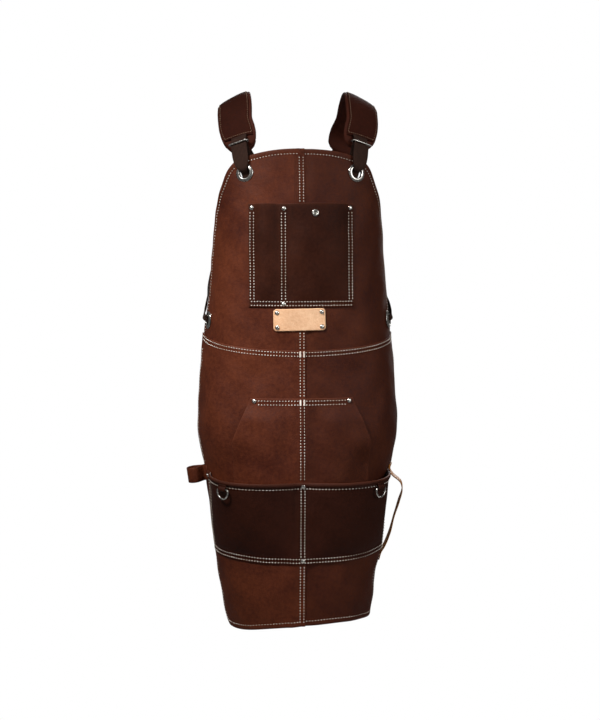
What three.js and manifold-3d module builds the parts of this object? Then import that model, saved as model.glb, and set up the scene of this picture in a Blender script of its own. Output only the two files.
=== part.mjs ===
// Leather work apron in its worn form: bib, skirt, pockets, shoulder pads and cross-back webbing.
// Millimetres, +Z up, front towards -Y, origin midway between the shoulders that carry the pads.
// A place on the apron is given as s, the way round the body from the centre seam, and z, the height;
// lift is how far a face stands outside the body.

import * as THREE from 'three';
import { mergeVertices } from 'three/addons/utils/BufferGeometryUtils.js';
import Module from 'manifold-3d';

const wasm = await Module();
wasm.setup();

// Materials' thicknesses and the clearance that sewn layers keep
const LEATHER = 1.8;
const WEBBING = 1.8;
const WEBBING_WIDTH = 30;
const PAD = 9;
const GAP = 0.35;
const LAYER = LEATHER + GAP;

// Height of the pads' undersides over the shoulders, where the finished apron has its origin
const SHOULDERS = -21;

// The body that the apron hangs on: half width, half depth and frontmost y at each level
const BODY = [
  { z: -60, half: 142, depth: 112, front: -84 },
  { z: -107, half: 148, depth: 116, front: -98 },
  { z: -200, half: 151, depth: 123, front: -114 },
  { z: -280, half: 152, depth: 127, front: -120 },
  { z: -340, half: 156, depth: 128, front: -121 },
  { z: -404, half: 162, depth: 129, front: -122 },
  { z: -459, half: 167, depth: 130, front: -122 },
  { z: -520, half: 172, depth: 132, front: -125 },
  { z: -600, half: 175, depth: 134, front: -130 },
  { z: -676, half: 161, depth: 131, front: -131 },
  { z: -767, half: 151, depth: 126, front: -129 },
  { z: -852, half: 141, depth: 119, front: -125 },
  { z: -921, half: 129, depth: 111, front: -119 },
  { z: -960, half: 121, depth: 106, front: -115 },
];
const ROUNDNESS = 2.4; // power of the rounded-square section
const SECTION_STEPS = 240;

// Soft dents and swells of the worn leather; depth is outward
const FOLDS = [
  { s: 0, z: -900, width: 15, height: 55, depth: -3.5 },
  { s: -78, z: -890, width: 42, height: 60, depth: 4 },
  { s: 84, z: -895, width: 40, height: 55, depth: 3 },
  { s: 176, z: -862, width: 24, height: 22, depth: -5 },
  { s: -152, z: -570, width: 34, height: 60, depth: 3 },
  { s: 150, z: -570, width: 34, height: 60, depth: 3 },
  { s: -70, z: -490, width: 40, height: 26, depth: -2 },
  { s: 74, z: -492, width: 40, height: 26, depth: -2 },
];

// Outline of the apron
const BIB_TOP = -106;
const BIB_TOP_DROP = 20; // from the centre to the top corners
const BIB_CORNER = 116; // s of the top corners
const WAIST = -450;
const WAIST_RISE = 20; // of the waist seam at WAIST_REACH
const WAIST_REACH = 207;
const WAIST_LAP = 22; // bib below the waist seam, under the skirt
const SIDE_EDGE = [
  { z: -126, s: 116 },
  { z: -140, s: 131 },
  { z: -166, s: 148 },
  { z: -193, s: 164 },
  { z: -230, s: 179 },
  { z: -280, s: 190 },
  { z: -340, s: 201 },
  { z: -404, s: 217 },
  { z: -450, s: 226 },
  { z: -520, s: 232 },
  { z: -600, s: 232 },
  { z: -680, s: 222 },
  { z: -760, s: 210 },
  { z: -840, s: 197 },
  { z: -900, s: 184 },
  { z: -960, s: 178 },
];
const HEM = [
  { s: -200, z: -952 },
  { s: -125, z: -948 },
  { s: -57, z: -939 },
  { s: 0, z: -934 },
  { s: 68, z: -930 },
  { s: 125, z: -933 },
  { s: 200, z: -940 },
];
const HEM_CORNER = 28;

// Centre seam: the left panel laps over the right one
const LAP_START = -28; // where the skirt's upper panel begins to rise
const LAP_UNDER = -14; // edge of the panel beneath
const LAP_EDGE = 6; // edge of the upper panel
const LAP_CLEAR = 7; // where the panel beneath, or a pocket over the lap, begins to level out
const LAP_END = 24; // where it is level again

// Chest pocket, sewn along its sides, bottom and divider
const CHEST = { half: 91, top: -200, bottom: -376, divider: -31, seam: 11, penDepth: 9, phoneDepth: 12 };
const CHEST_RIVETS = [
  { s: -85, z: -207 },
  { s: -30, z: -208 },
  { s: 85, z: -207 },
  { s: -31, z: -370 },
];
const SNAP = { s: 21.5, z: -216.5, radius: 6.2, bore: 2.6, height: 2.4 };
const RIVET = { radius: 4, height: 2.2, sides: 10 };

// Label patch
const LABEL = { s: -4, z: -397, length: 89, height: 38, corner: 6, thick: 2.4, tilt: 1.1, inset: 6.5 };

// Hand pocket: straight top, slanted openings, sewn on the centre line, sides and bottom
const KANGAROO = {
  top: -532,
  slantEnd: -609,
  bottom: -716,
  topHalf: 88,
  half: 119,
  seam: 8,
  ease: 42, // from a seam to where the pocket stands off in full
  depth: 12,
};
const KANGAROO_RIVETS = { s: 81, z: -537 };

// Tool pocket across the skirt, divided at the centre
const TOOL = { half: 192, mouth: -676, bottom: -821, seamRow: -807, rise: 8, seam: 12, depth: 27 };
const TOOL_RIVETS = [
  { name: 'left', s: -187, z: -683 },
  { name: 'centre', s: 1, z: -683 },
  { name: 'right', s: 187, z: -683 },
  { name: 'bottom', s: 1, z: -814 },
];

// Steel D-rings on folded tabs
const D_RING = { s: 123, z: -687, width: 22, drop: 16, wire: 1.5 };
const TAB = { width: 17, height: 14, running: 0.45, wrap: 2.1 * Math.PI };

// Tool loops at the ends of the tool pocket
const LOOP_S = 206;
const LOOP_LEFT_Z = -673;
const LOOP_LEFT_BAND = 27;
const LOOP_LEFT_PATH = [
  { along: 12, out: 0 },
  { along: 7, out: 0 },
  { along: 4, out: 2 },
  { along: 4, out: 6 },
  { along: 8, out: 13 },
  { along: 11, out: 21 },
  { along: 9, out: 28 },
  { along: 4, out: 32 },
  { along: -4, out: 32 },
  { along: -9, out: 28 },
  { along: -11, out: 21 },
  { along: -8, out: 13 },
  { along: -4, out: 6 },
  { along: -4, out: 2 },
  { along: -7, out: 0 },
  { along: -12, out: 0 },
];
const LOOP_RIGHT_BAND = 26;
const LOOP_RIGHT_PATH = [
  { z: -662, out: 0 },
  { z: -673, out: 0 },
  { z: -681, out: 7 },
  { z: -692, out: 22 },
  { z: -706, out: 27 },
  { z: -728, out: 24 },
  { z: -757, out: 18 },
  { z: -786, out: 13 },
  { z: -812, out: 7 },
  { z: -826, out: 1 },
  { z: -838, out: 0 },
];

// Steel grommets; heights are measured from the leather's inner face
const GROMMET = {
  bore: 9.5,
  tube: 10.7,
  hole: 11.1, // in the leather
  rim: 16,
  crown: 4.4,
  back: -1.6,
  backRim: 14,
  washer: 1,
};
const BIB_GROMMET = { s: 98, z: -147 };
const WAIST_GROMMET = { s: 196, z: -403 };
const ROUND_SIDES = 14;

// Front webbing, in the bib grommet's own frame: out of the bib, up the bib, width there
const FRONT_STRAP = [
  { out: 2.5, up: 54.5, width: 30 },
  { out: 4.6, up: 42, width: 30 },
  { out: 6, up: 29, width: 29 },
  { out: 6.8, up: 18, width: 24 },
  { out: 6.8, up: 10.5, width: 17 },
  { out: 5.4, up: 5.6, width: 13 },
  { out: 2.8, up: 3.4, width: 12.5 },
  { out: 0, up: 2.6, width: 12.5 },
  { out: -2.8, up: 0.4, width: 13 },
  { out: -4.4, up: -4.6, width: 15 },
  { out: -6, up: -8.2, width: 17 },
  { out: -7.8, up: -6, width: 19 },
  { out: -7.8, up: 4, width: 22 },
  { out: -6.3, up: 16, width: 25 },
  { out: -5.3, up: 28, width: 29 },
  { out: -4.4, up: 39, width: 30 },
  { out: -2, up: 48, width: 30 },
  { out: -0.4, up: 55.5, width: 30 },
];
const FRONT_STRAP_LEAN = 16; // degrees that the webbing leans outward
const FRONT_SEWN = [0.17, 0.135, 0.1, 0.07]; // where the webbing's sewn end lies, along the pad
const BACK_SEWN = [0.14, 0.105, 0.07, 0.035];
const PAD_CLEAR = 1.7; // between the crowned pad and the webbing sewn on it
const KEEPER = { width: 33, height: 7.2, wire: 2.4, up: 54 };

// Shoulder pads: the middle of the pad over the shoulder, from its front end to its back end
const PAD_WIDTH = 66;
const PAD_FRONT = [
  { up: 44, out: -11.5 }, // in the leaning webbing's frame
  { up: 62, out: -9 },
];
const PAD_SHOULDER = [
  { x: 111, y: -53, z: -62 },
  { x: 111.5, y: -40, z: -38 },
  { x: 112, y: -10, z: -19.5 },
  { x: 112, y: 32, z: -17 },
  { x: 111, y: 70, z: -31 },
  { x: 108, y: 97, z: -55 },
];
const PAD_BACK = [
  { across: 99, z: -78 },
  { across: 85, z: -104 },
];
const PAD_SLOPE = 28; // degrees that the pad drops outward on top of the shoulder
const PAD_STATIONS = [0, 0.012, 0.035, 0.07, 0.105, 0.15, 0.21, 0.28, 0.36, 0.45];
const PAD_ROUNDING = [0.3, 0.58, 0.82, 0.95, 1, 1, 1, 0.98, 0.97, 0.96];
const PAD_SECTION = [
  { across: -1, out: -0.2 },
  { across: -0.82, out: -0.5 },
  { across: 0.82, out: -0.5 },
  { across: 1, out: -0.2 },
  { across: 1, out: 0.12 },
  { across: 0.8, out: 0.5 },
  { across: -0.8, out: 0.5 },
  { across: -1, out: 0.12 },
];

// Back webbing: across the back from the pad to the other side's waist grommet
const BACK_TOP = { across: 76, z: -118 };
const BACK_LIFT = 1.3;
const BACK_STEPS = 16;
const BACK_OFF_PAD = 3; // steps in which the webbing comes down from the pad
const BACK_CROSSING = { full: 30, clear: 75 };
const WAIST_RISE_RATE = 0.77; // rise of the webbing behind the waist grommet, per millimetre round
const WAIST_LOOP = [
  { s: 238, out: 1.7, width: 30 },
  { s: 228, out: 3.4, width: 29 },
  { s: 219, out: 5.4, width: 26 },
  { s: 211, out: 7.4, width: 20 },
  { s: 204.5, out: 8.4, width: 15 },
  { s: 200, out: 6.6, width: 13 },
  { s: 198.2, out: 3.0, width: 12.5 },
  { s: 198.0, out: 0, width: 12.5 },
  { s: 199.2, out: -3.0, width: 13 },
  { s: 204, out: -5.4, width: 17 },
  { s: 213, out: -5.6, width: 24 },
  { s: 225, out: -4.4, width: 29 },
  { s: 238, out: -2.4, width: 30 },
  { s: 250, out: -1.6, width: 30 },
];

// Columns of the sheets, as s from the centre, and the last column's way in from the side edge
const INNER_COLUMNS = [45, 60, 75, 90];
const OUTER_COLUMNS = 5;
const EDGE_MARGIN = 8;
const HAND_POCKET_SHARES = [0.2, 0.4, 0.6, 0.78, 0.91, 1];

const smoothstep = THREE.MathUtils.smoothstep;
const lerp = THREE.MathUtils.lerp;
const clamp = THREE.MathUtils.clamp;
const evenly = (from, to, steps) => Array.from({ length: steps + 1 }, (_, k) => lerp(from, to, k / steps));

// Value of a table's column, on a smooth curve through its rows
function read(table, key, at, column) {
  const last = table.length - 1;
  const rising = table[last][key] > table[0][key];
  const beyond = (k) => (rising ? at > table[k][key] : at < table[k][key]);
  let i = 0;
  while (i < last - 1 && beyond(i + 1)) {
    i += 1;
  }
  const slope = (k) => {
    const before = table[Math.max(k - 1, 0)];
    const after = table[Math.min(k + 1, last)];
    return (after[column] - before[column]) / (after[key] - before[key]);
  };
  const span = table[i + 1][key] - table[i][key];
  const t = clamp((at - table[i][key]) / span, 0, 1);
  const ease = t * t * (3 - 2 * t);
  const leave = slope(i) * span * t * (1 - t) ** 2;
  const arrive = slope(i + 1) * span * t * t * (t - 1);
  return lerp(table[i][column], table[i + 1][column], ease) + leave + arrive;
}

// The body's section at a level, from the front round one side to the back, with its running length
const sections = new Map();

function section(z) {
  const key = z.toFixed(2);
  if (!sections.has(key)) {
    sections.set(key, traceSection(z));
  }
  return sections.get(key);
}

function traceSection(z) {
  const half = read(BODY, 'z', z, 'half');
  const depth = read(BODY, 'z', z, 'depth');
  const front = read(BODY, 'z', z, 'front');
  const points = [];
  let run = 0;
  for (let k = 0; k <= SECTION_STEPS; k++) {
    const turn = (Math.PI * k) / SECTION_STEPS;
    const facing = Math.cos(turn);
    const x = half * Math.sin(turn) ** (2 / ROUNDNESS);
    const y = front + depth * (1 - Math.sign(facing) * Math.abs(facing) ** (2 / ROUNDNESS));
    if (k > 0) {
      run += Math.hypot(x - points[k - 1].x, y - points[k - 1].y);
    }
    points.push({ s: run, x, y });
  }
  return points;
}

const halfGirth = (z) => section(z).at(-1).s;

function formPoint(s, z) {
  const points = section(z);
  const reach = Math.min(Math.abs(s), points.at(-1).s);
  let k = 1;
  while (points[k].s < reach) {
    k += 1;
  }
  const t = (reach - points[k - 1].s) / (points[k].s - points[k - 1].s);
  const x = lerp(points[k - 1].x, points[k].x, t);
  const y = lerp(points[k - 1].y, points[k].y, t);
  return new THREE.Vector3(Math.sign(s) * x, y, z);
}

function foldAt(s, z) {
  let depth = 0;
  for (const fold of FOLDS) {
    const aside = (s - fold.s) / fold.width;
    const away = (z - fold.z) / fold.height;
    depth += fold.depth * Math.exp(-aside * aside - away * away);
  }
  return depth;
}

function formNormal(s, z) {
  const across = formPoint(s + 1, z).sub(formPoint(s - 1, z));
  const up = formPoint(s, z + 1).sub(formPoint(s, z - 1));
  return across.cross(up).normalize();
}

function onBody(s, z, lift) {
  return formPoint(s, z).addScaledVector(formNormal(s, z), lift + foldAt(s, z));
}

// Place and directions on a surface that stands `lift(s, z)` outside the body
function seat(s, z, lift) {
  const step = 1.5;
  const place = (u, w) => onBody(u, w, lift(u, w));
  const at = place(s, z);
  const across = place(s + step, z).sub(place(s - step, z)).normalize();
  const up = place(s, z + step).sub(place(s, z - step)).normalize();
  const out = across.clone().cross(up).normalize();
  up.copy(out).cross(across);
  return { at, across, up, out };
}

function fromSeat(frame, aside, up, out) {
  const point = frame.at.clone().addScaledVector(frame.across, aside);
  return point.addScaledVector(frame.up, up).addScaledVector(frame.out, out);
}

// Closed meshes
function meshGeometry(positions, index) {
  const geometry = new THREE.BufferGeometry();
  geometry.setAttribute('position', new THREE.Float32BufferAttribute(positions, 3));
  geometry.setIndex(index);
  return geometry;
}

function addQuad(index, a, b, c, d) {
  index.push(a, b, c, a, c, d);
}

// A sheet of leather over a grid of places, from its inner face at lift(s, z) out to its thickness
function wall(grid, lift, thick = LEATHER) {
  const rows = grid.length;
  const columns = grid[0].length;
  const positions = [];
  for (const face of [thick, 0]) {
    for (const { s, z } of grid.flat()) {
      positions.push(...onBody(s, z, lift(s, z) + face));
    }
  }
  const outer = (i, j) => j * columns + i;
  const inner = (i, j) => rows * columns + outer(i, j);
  const right = columns - 1;
  const base = rows - 1;
  const index = [];
  for (let j = 0; j < base; j++) {
    for (let i = 0; i < right; i++) {
      addQuad(index, outer(i, j), outer(i, j + 1), outer(i + 1, j + 1), outer(i + 1, j));
      addQuad(index, inner(i, j), inner(i + 1, j), inner(i + 1, j + 1), inner(i, j + 1));
    }
    addQuad(index, outer(0, j), inner(0, j), inner(0, j + 1), outer(0, j + 1));
    addQuad(index, outer(right, j), outer(right, j + 1), inner(right, j + 1), inner(right, j));
  }
  for (let i = 0; i < right; i++) {
    addQuad(index, outer(i, 0), outer(i + 1, 0), inner(i + 1, 0), inner(i, 0));
    addQuad(index, outer(i, base), inner(i, base), inner(i + 1, base), outer(i + 1, base));
  }
  return meshGeometry(positions, index);
}

// A body through rings of points, closed by end caps or into a loop
function loft(rings, loop = false) {
  const sides = rings[0].length;
  const positions = rings.flat().flatMap((point) => point.toArray());
  const index = [];
  const spans = loop ? rings.length : rings.length - 1;
  for (let k = 0; k < spans; k++) {
    const here = k * sides;
    const next = ((k + 1) % rings.length) * sides;
    for (let m = 0; m < sides; m++) {
      const n = (m + 1) % sides;
      addQuad(index, here + m, here + n, next + n, next + m);
    }
  }
  if (!loop) {
    const end = (rings.length - 1) * sides;
    for (let m = 1; m < sides - 1; m++) {
      index.push(0, m + 1, m);
      index.push(end, end + m, end + m + 1);
    }
  }
  return meshGeometry(positions, index);
}

function tangentAt(points, k) {
  const before = points[Math.max(k - 1, 0)];
  const after = points[Math.min(k + 1, points.length - 1)];
  return after.clone().sub(before).normalize();
}

// The part of a direction that stands square to another one
function squareTo(direction, axis) {
  return direction.clone().addScaledVector(axis, -direction.dot(axis)).normalize();
}

// A flat strap along stations { at, across, width }, where `at` is the middle of its thickness
function strap(stations, thick) {
  const points = stations.map((station) => station.at);
  const rings = stations.map((station, k) => {
    const tangent = tangentAt(points, k);
    const across = squareTo(station.across, tangent);
    const out = across.clone().cross(tangent);
    const corner = (side, face) => {
      const point = station.at.clone().addScaledVector(across, (side * station.width) / 2);
      return point.addScaledVector(out, (face * thick) / 2);
    };
    return [corner(-1, -1), corner(1, -1), corner(1, 1), corner(-1, 1)];
  });
  return loft(rings);
}

// One index per place, no collapsed triangles, faces outward
function tidy(source) {
  const bare = source.clone();
  bare.deleteAttribute('normal');
  bare.deleteAttribute('uv');
  const geometry = mergeVertices(bare, 1e-4);
  const index = geometry.index.array;
  const kept = [];
  for (let k = 0; k < index.length; k += 3) {
    const [a, b, c] = [index[k], index[k + 1], index[k + 2]];
    if (a !== b && b !== c && c !== a) {
      kept.push(a, b, c);
    }
  }
  geometry.setIndex(volume(geometry, kept) < 0 ? kept.reverse() : kept);
  return geometry;
}

function volume(geometry, index) {
  const place = geometry.getAttribute('position');
  const corner = (k) => new THREE.Vector3().fromBufferAttribute(place, index[k]);
  let total = 0;
  for (let k = 0; k < index.length; k += 3) {
    total += corner(k).dot(corner(k + 1).cross(corner(k + 2))) / 6;
  }
  return total;
}

function toManifold(source) {
  const geometry = tidy(source);
  const vertProperties = new Float32Array(geometry.getAttribute('position').array);
  const triVerts = new Uint32Array(geometry.index.array);
  return new wasm.Manifold(new wasm.Mesh({ numProp: 3, vertProperties, triVerts }));
}

function cut(source, cutters) {
  let body = toManifold(source);
  for (const cutter of cutters) {
    body = body.subtract(toManifold(cutter));
  }
  const mesh = body.getMesh();
  return meshGeometry(Array.from(mesh.vertProperties), Array.from(mesh.triVerts));
}

// The assembly
const apron = new THREE.Group();
apron.name = 'leather_work_apron';

function leather(color) {
  return new THREE.MeshStandardMaterial({ color, roughness: 0.78, metalness: 0 });
}

function webbing() {
  return new THREE.MeshStandardMaterial({ color: '#452e27', roughness: 0.9, metalness: 0 });
}

function steel() {
  return new THREE.MeshStandardMaterial({ color: '#c9c8c4', roughness: 0.28, metalness: 1 });
}

function addPiece(name, geometry, material) {
  const mesh = new THREE.Mesh(tidy(geometry), material);
  mesh.name = name;
  apron.add(mesh);
  return mesh;
}

// Turned parts have their axis on local Y; this stands them on a seat
function stand(mesh, frame) {
  const third = frame.across.clone().cross(frame.out);
  mesh.quaternion.setFromRotationMatrix(new THREE.Matrix4().makeBasis(frame.across, frame.out, third));
  mesh.position.copy(frame.at);
  return mesh;
}

// Panels
const sideEdge = (z) => read(SIDE_EDGE, 'z', z, 's');
const bibTop = (s) => BIB_TOP - BIB_TOP_DROP * (Math.abs(s) / BIB_CORNER) ** 2.2;
const waistLine = (s) => WAIST + WAIST_RISE * (s / WAIST_REACH) ** 2;
const hemLine = (s) => read(HEM, 's', clamp(s, HEM[0].s, HEM.at(-1).s), 'z');

const isLeft = (side) => side < 0;
const seamColumns = (side) => (isLeft(side) ? [LAP_EDGE, ...evenly(LAP_UNDER, LAP_START, 2)]
  : [LAP_UNDER, ...evenly(LAP_CLEAR, LAP_END, 2)]);

// Columns from the lap outwards: fixed near the centre, then spread out as far as `reach`
function columnsOut(reach) {
  return [...INNER_COLUMNS, ...evenly(INNER_COLUMNS.at(-1), reach, OUTER_COLUMNS).slice(1)];
}

// Columns of a panel out to its side edge; every layer has the same ones as far as the tool pocket
function columnsTo(side, edge) {
  const reach = Math.min(TOOL.half, edge - EDGE_MARGIN);
  const outward = [...columnsOut(reach), (reach + edge) / 2, edge];
  return [...seamColumns(side), ...outward.map((s) => side * s)];
}

// The right bib panel ducks under the left one; the left skirt panel rises over the right one
const pastLap = (s) => smoothstep(s, LAP_CLEAR, LAP_END);
const ontoLap = (s) => smoothstep(s, LAP_START, LAP_UNDER);
const bibLift = (side) => (s) => (isLeft(side) ? 0 : -LAYER * (1 - pastLap(s)));
const skirtLift = (side) => (s) => LAYER + (isLeft(side) ? LAYER * ontoLap(s) : 0);

// Outer face of the sewn skirt, smoothed over the centre lap for what lies on it
function skirtFace(s) {
  return LAYER + LEATHER + LAYER * ontoLap(s) * (1 - pastLap(s));
}

// Rows of a panel: the line that each follows, as z of s, and how far out it goes
function row(line, edge) {
  return { line, edge };
}

function panelGrid(side, rows) {
  return rows.map(({ line, edge }) => columnsTo(side, edge).map((s) => ({ s, z: line(s) })));
}

function rowsBetween(upper, lower, shares, edgeS) {
  return shares.map((t) => {
    const line = (s) => lerp(upper(s), lower(s), t);
    return row(line, sideEdge(line(edgeS)));
  });
}

function bibGrid(side) {
  const chestTop = () => CHEST.top;
  const chestBottom = () => CHEST.bottom;
  const underSkirt = (s) => waistLine(s) - WAIST_LAP;
  return panelGrid(side, [
    ...rowsBetween(bibTop, chestTop, [0, 0.2, 0.5, 0.75], BIB_CORNER),
    ...rowsBetween(chestTop, chestBottom, evenly(0, 1, 5), WAIST_REACH),
    ...rowsBetween(chestBottom, underSkirt, evenly(0, 1, 3).slice(1), WAIST_REACH),
  ]);
}

function grommetSeat(side, place) {
  return seat(side * place.s, place.z, () => 0);
}

function grommetHole(side, place) {
  const frame = grommetSeat(side, place);
  const drill = new THREE.Mesh(new THREE.CylinderGeometry(GROMMET.hole, GROMMET.hole, 40, ROUND_SIDES));
  stand(drill, frame).updateMatrix();
  return drill.geometry.applyMatrix4(drill.matrix);
}

function addBib(name, side, color) {
  const sheet = wall(bibGrid(side), bibLift(side));
  const holes = [BIB_GROMMET, WAIST_GROMMET].map((place) => grommetHole(side, place));
  addPiece(name, cut(sheet, holes), leather(color));
}

function skirtGrid(side) {
  const levels = [
    ...evenly(KANGAROO.top, KANGAROO.slantEnd, 3),
    ...evenly(KANGAROO.slantEnd, TOOL.mouth, 3).slice(1),
    ...evenly(TOOL.mouth, TOOL.bottom, 6).slice(1),
    (TOOL.bottom + HEM[0].z + HEM_CORNER) / 2,
  ];
  const corner = [1, 0.55, 0.2, 0].map((share) => {
    const above = share * HEM_CORNER;
    const round = HEM_CORNER - Math.sqrt(HEM_CORNER ** 2 - (HEM_CORNER - above) ** 2);
    return row((s) => hemLine(s) + above, sideEdge(HEM[0].z + above) - round);
  });
  return panelGrid(side, [
    ...rowsBetween(waistLine, () => KANGAROO.top, evenly(0, 1, 3).slice(0, -1), WAIST_REACH),
    ...levels.map((z) => row(() => z, sideEdge(z))),
    ...corner,
  ]);
}

addBib('bib_left', -1, '#5c3226');
addBib('bib_right', 1, '#5c3226');
addPiece('skirt_left', wall(skirtGrid(-1), skirtLift(-1)), leather('#5c3226'));
addPiece('skirt_right', wall(skirtGrid(1), skirtLift(1)), leather('#5c3226'));

// How far a pocket stands out between two seams
function swell(at, from, to, seam) {
  const t = clamp((at - from - seam) / (to - from - 2 * seam), 0, 1);
  return Math.sin(Math.PI * t) ** 0.8;
}

// Chest pocket
function chestLift(s, z) {
  const seamRow = CHEST.bottom + CHEST.seam;
  const rise = clamp((z - seamRow) / (CHEST.top - seamRow), 0, 1) ** 0.6;
  const pens = CHEST.penDepth * swell(s, -CHEST.half, CHEST.divider, CHEST.seam);
  const phone = CHEST.phoneDepth * swell(s, CHEST.divider, CHEST.half, CHEST.seam);
  return LAYER + rise * (pens + phone);
}

function chestGrid() {
  const { half, top, bottom, divider, seam } = CHEST;
  const pens = evenly(seam - half, divider - seam, 4);
  const phone = evenly(divider + seam, half - seam, 6);
  const columns = [-half, ...pens, divider, ...phone, half];
  return [...evenly(top, bottom + seam, 6), bottom].map((z) => columns.map((s) => ({ s, z })));
}

addPiece('chest_pocket', wall(chestGrid(), chestLift), leather('#4a2a20'));
const chestFace = (s, z) => chestLift(s, z) + LAYER;

// A turned part from its profile of radius and height
function turned(profile, sides) {
  const outline = profile.map(([radius, height]) => new THREE.Vector2(radius, height));
  return new THREE.LatheGeometry(outline, sides);
}

function domed(radius, height) {
  const dome = [[radius, 0.35 * height], [0.68 * radius, 0.85 * height]];
  return turned([[0, 0], [radius, 0], ...dome, [0, height]], RIVET.sides);
}

function addRivet(name, s, z, face) {
  stand(addPiece(name, domed(RIVET.radius, RIVET.height), steel()), seat(s, z, face));
}

CHEST_RIVETS.forEach(({ s, z }, k) => addRivet(`chest_rivet_${k + 1}`, s, z, chestFace));

// Ring snap: a turned ring with an open middle
function snapRing() {
  const { radius, bore, height } = SNAP;
  const crown = [[radius, 0.4 * height], [0.7 * radius, height], [bore, 0.5 * height]];
  return turned([[bore, 0], [radius, 0], ...crown, [bore, 0]], ROUND_SIDES);
}

stand(addPiece('pocket_snap', snapRing(), steel()), seat(SNAP.s, SNAP.z, chestFace));

// Label patch with rounded corners, turned a little
function labelPlace(along, up) {
  const tilt = THREE.MathUtils.degToRad(LABEL.tilt);
  const s = LABEL.s + along * Math.cos(tilt) - up * Math.sin(tilt);
  const z = LABEL.z + along * Math.sin(tilt) + up * Math.cos(tilt);
  return { s, z };
}

function labelGrid() {
  const halfHeight = LABEL.height / 2;
  const upper = [0, 0.3, 1].map((t) => halfHeight - t * LABEL.corner);
  return [...upper, ...upper.map((up) => -up).toReversed()].map((up) => {
    const into = Math.max(0, Math.abs(up) - (halfHeight - LABEL.corner));
    const half = LABEL.length / 2 - LABEL.corner + Math.sqrt(LABEL.corner ** 2 - into ** 2);
    return [-1, -0.85, -0.5, -0.17, 0.17, 0.5, 0.85, 1].map((t) => labelPlace(t * half, up));
  });
}

const labelLift = () => LAYER;
const labelFace = () => LAYER + LABEL.thick + GAP;
addPiece('label_patch', wall(labelGrid(), labelLift, LABEL.thick), leather('#e6bf98'));
let labelRivet = 0;
for (const up of [1, -1]) {
  for (const along of [-1, 1]) {
    const aside = along * (LABEL.length / 2 - LABEL.inset);
    const place = labelPlace(aside, up * (LABEL.height / 2 - LABEL.inset));
    labelRivet += 1;
    addRivet(`label_rivet_${labelRivet}`, place.s, place.z, labelFace);
  }
}

// Hand pocket
function kangarooHalf(z) {
  const share = clamp((z - KANGAROO.top) / (KANGAROO.slantEnd - KANGAROO.top), 0, 1);
  return lerp(KANGAROO.topHalf, KANGAROO.half, share);
}

function kangarooLift(s, z) {
  const { top, slantEnd, bottom, half, seam, ease } = KANGAROO;
  const fromTop = smoothstep(top - z, seam, ease);
  const fromBottom = smoothstep(z - bottom, seam, ease);
  const fromCentre = smoothstep(Math.abs(s), seam, 1.4 * ease);
  const sewnSide = smoothstep(slantEnd - z, 0, 0.7 * ease);
  const fromSide = 1 - sewnSide * smoothstep(Math.abs(s), half - ease, half - seam);
  return skirtFace(s) + GAP + KANGAROO.depth * fromTop * fromBottom * fromCentre * fromSide;
}

function kangarooGrid() {
  const { top, slantEnd, bottom, seam } = KANGAROO;
  const opening = [top, ...evenly(top - seam, slantEnd, 5)];
  const below = [...evenly(slantEnd, bottom + seam, 5).slice(1), bottom];
  return [...opening, ...below].map((z) => {
    const right = HAND_POCKET_SHARES.map((share) => lerp(-LAP_START, kangarooHalf(z), share));
    const left = right.map((s) => -s).toReversed();
    return [...left, LAP_START, LAP_UNDER, LAP_CLEAR, LAP_END, ...right].map((s) => ({ s, z }));
  });
}

addPiece('kangaroo_pocket', wall(kangarooGrid(), kangarooLift), leather('#57301f'));
const kangarooFace = (s, z) => kangarooLift(s, z) + LAYER;
addRivet('kangaroo_rivet_left', -KANGAROO_RIVETS.s, KANGAROO_RIVETS.z, kangarooFace);
addRivet('kangaroo_rivet_right', KANGAROO_RIVETS.s, KANGAROO_RIVETS.z, kangarooFace);

// Tool pocket; its rows curve up a little towards the sides, as its mouth and bottom seam do
const toolRow = (z, s) => z + TOOL.rise * (s / TOOL.half) ** 2;

function toolLift(s, z) {
  const level = z - TOOL.rise * (s / TOOL.half) ** 2;
  const rise = clamp((level - TOOL.seamRow) / (TOOL.mouth - TOOL.seamRow), 0, 1) ** 0.7;
  const centre = Math.sign(s || 1) * TOOL.half;
  const bulge = swell(s, Math.min(0, centre), Math.max(0, centre), TOOL.seam);
  const overHandPocket = smoothstep(z, KANGAROO.bottom - KANGAROO.ease, KANGAROO.bottom - KANGAROO.seam);
  const nearCentre = 1 - smoothstep(Math.abs(s), KANGAROO.seam * 2, KANGAROO.seam * 5);
  return skirtFace(s) + GAP + LAYER * overHandPocket * nearCentre + TOOL.depth * rise * bulge;
}

function toolGrid() {
  const { half, mouth, seamRow, bottom, seam } = TOOL;
  const right = [LAP_END, ...columnsOut(half).slice(0, -1), half - seam, half];
  const left = right.map((s) => -s).toReversed();
  const columns = [...left, ...evenly(LAP_UNDER, LAP_CLEAR, 2), ...right];
  const rows = [mouth, ...evenly(mouth - seam, seamRow, 6), bottom];
  return rows.map((z) => columns.map((s) => ({ s, z: toolRow(z, s) })));
}

addPiece('tool_pocket', wall(toolGrid(), toolLift), leather('#4f2a1f'));
const toolFace = (s, z) => toolLift(s, z) + LAYER;
TOOL_RIVETS.forEach(({ name, s, z }) => addRivet(`tool_rivet_${name}`, s, toolRow(z, s), toolFace));

// D-rings: the tab's fold holds the straight bar, the bow hangs straight down
const RING_OUT = GAP + LEATHER + TAB.running + D_RING.wire; // from the pocket to the bar's axis

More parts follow.
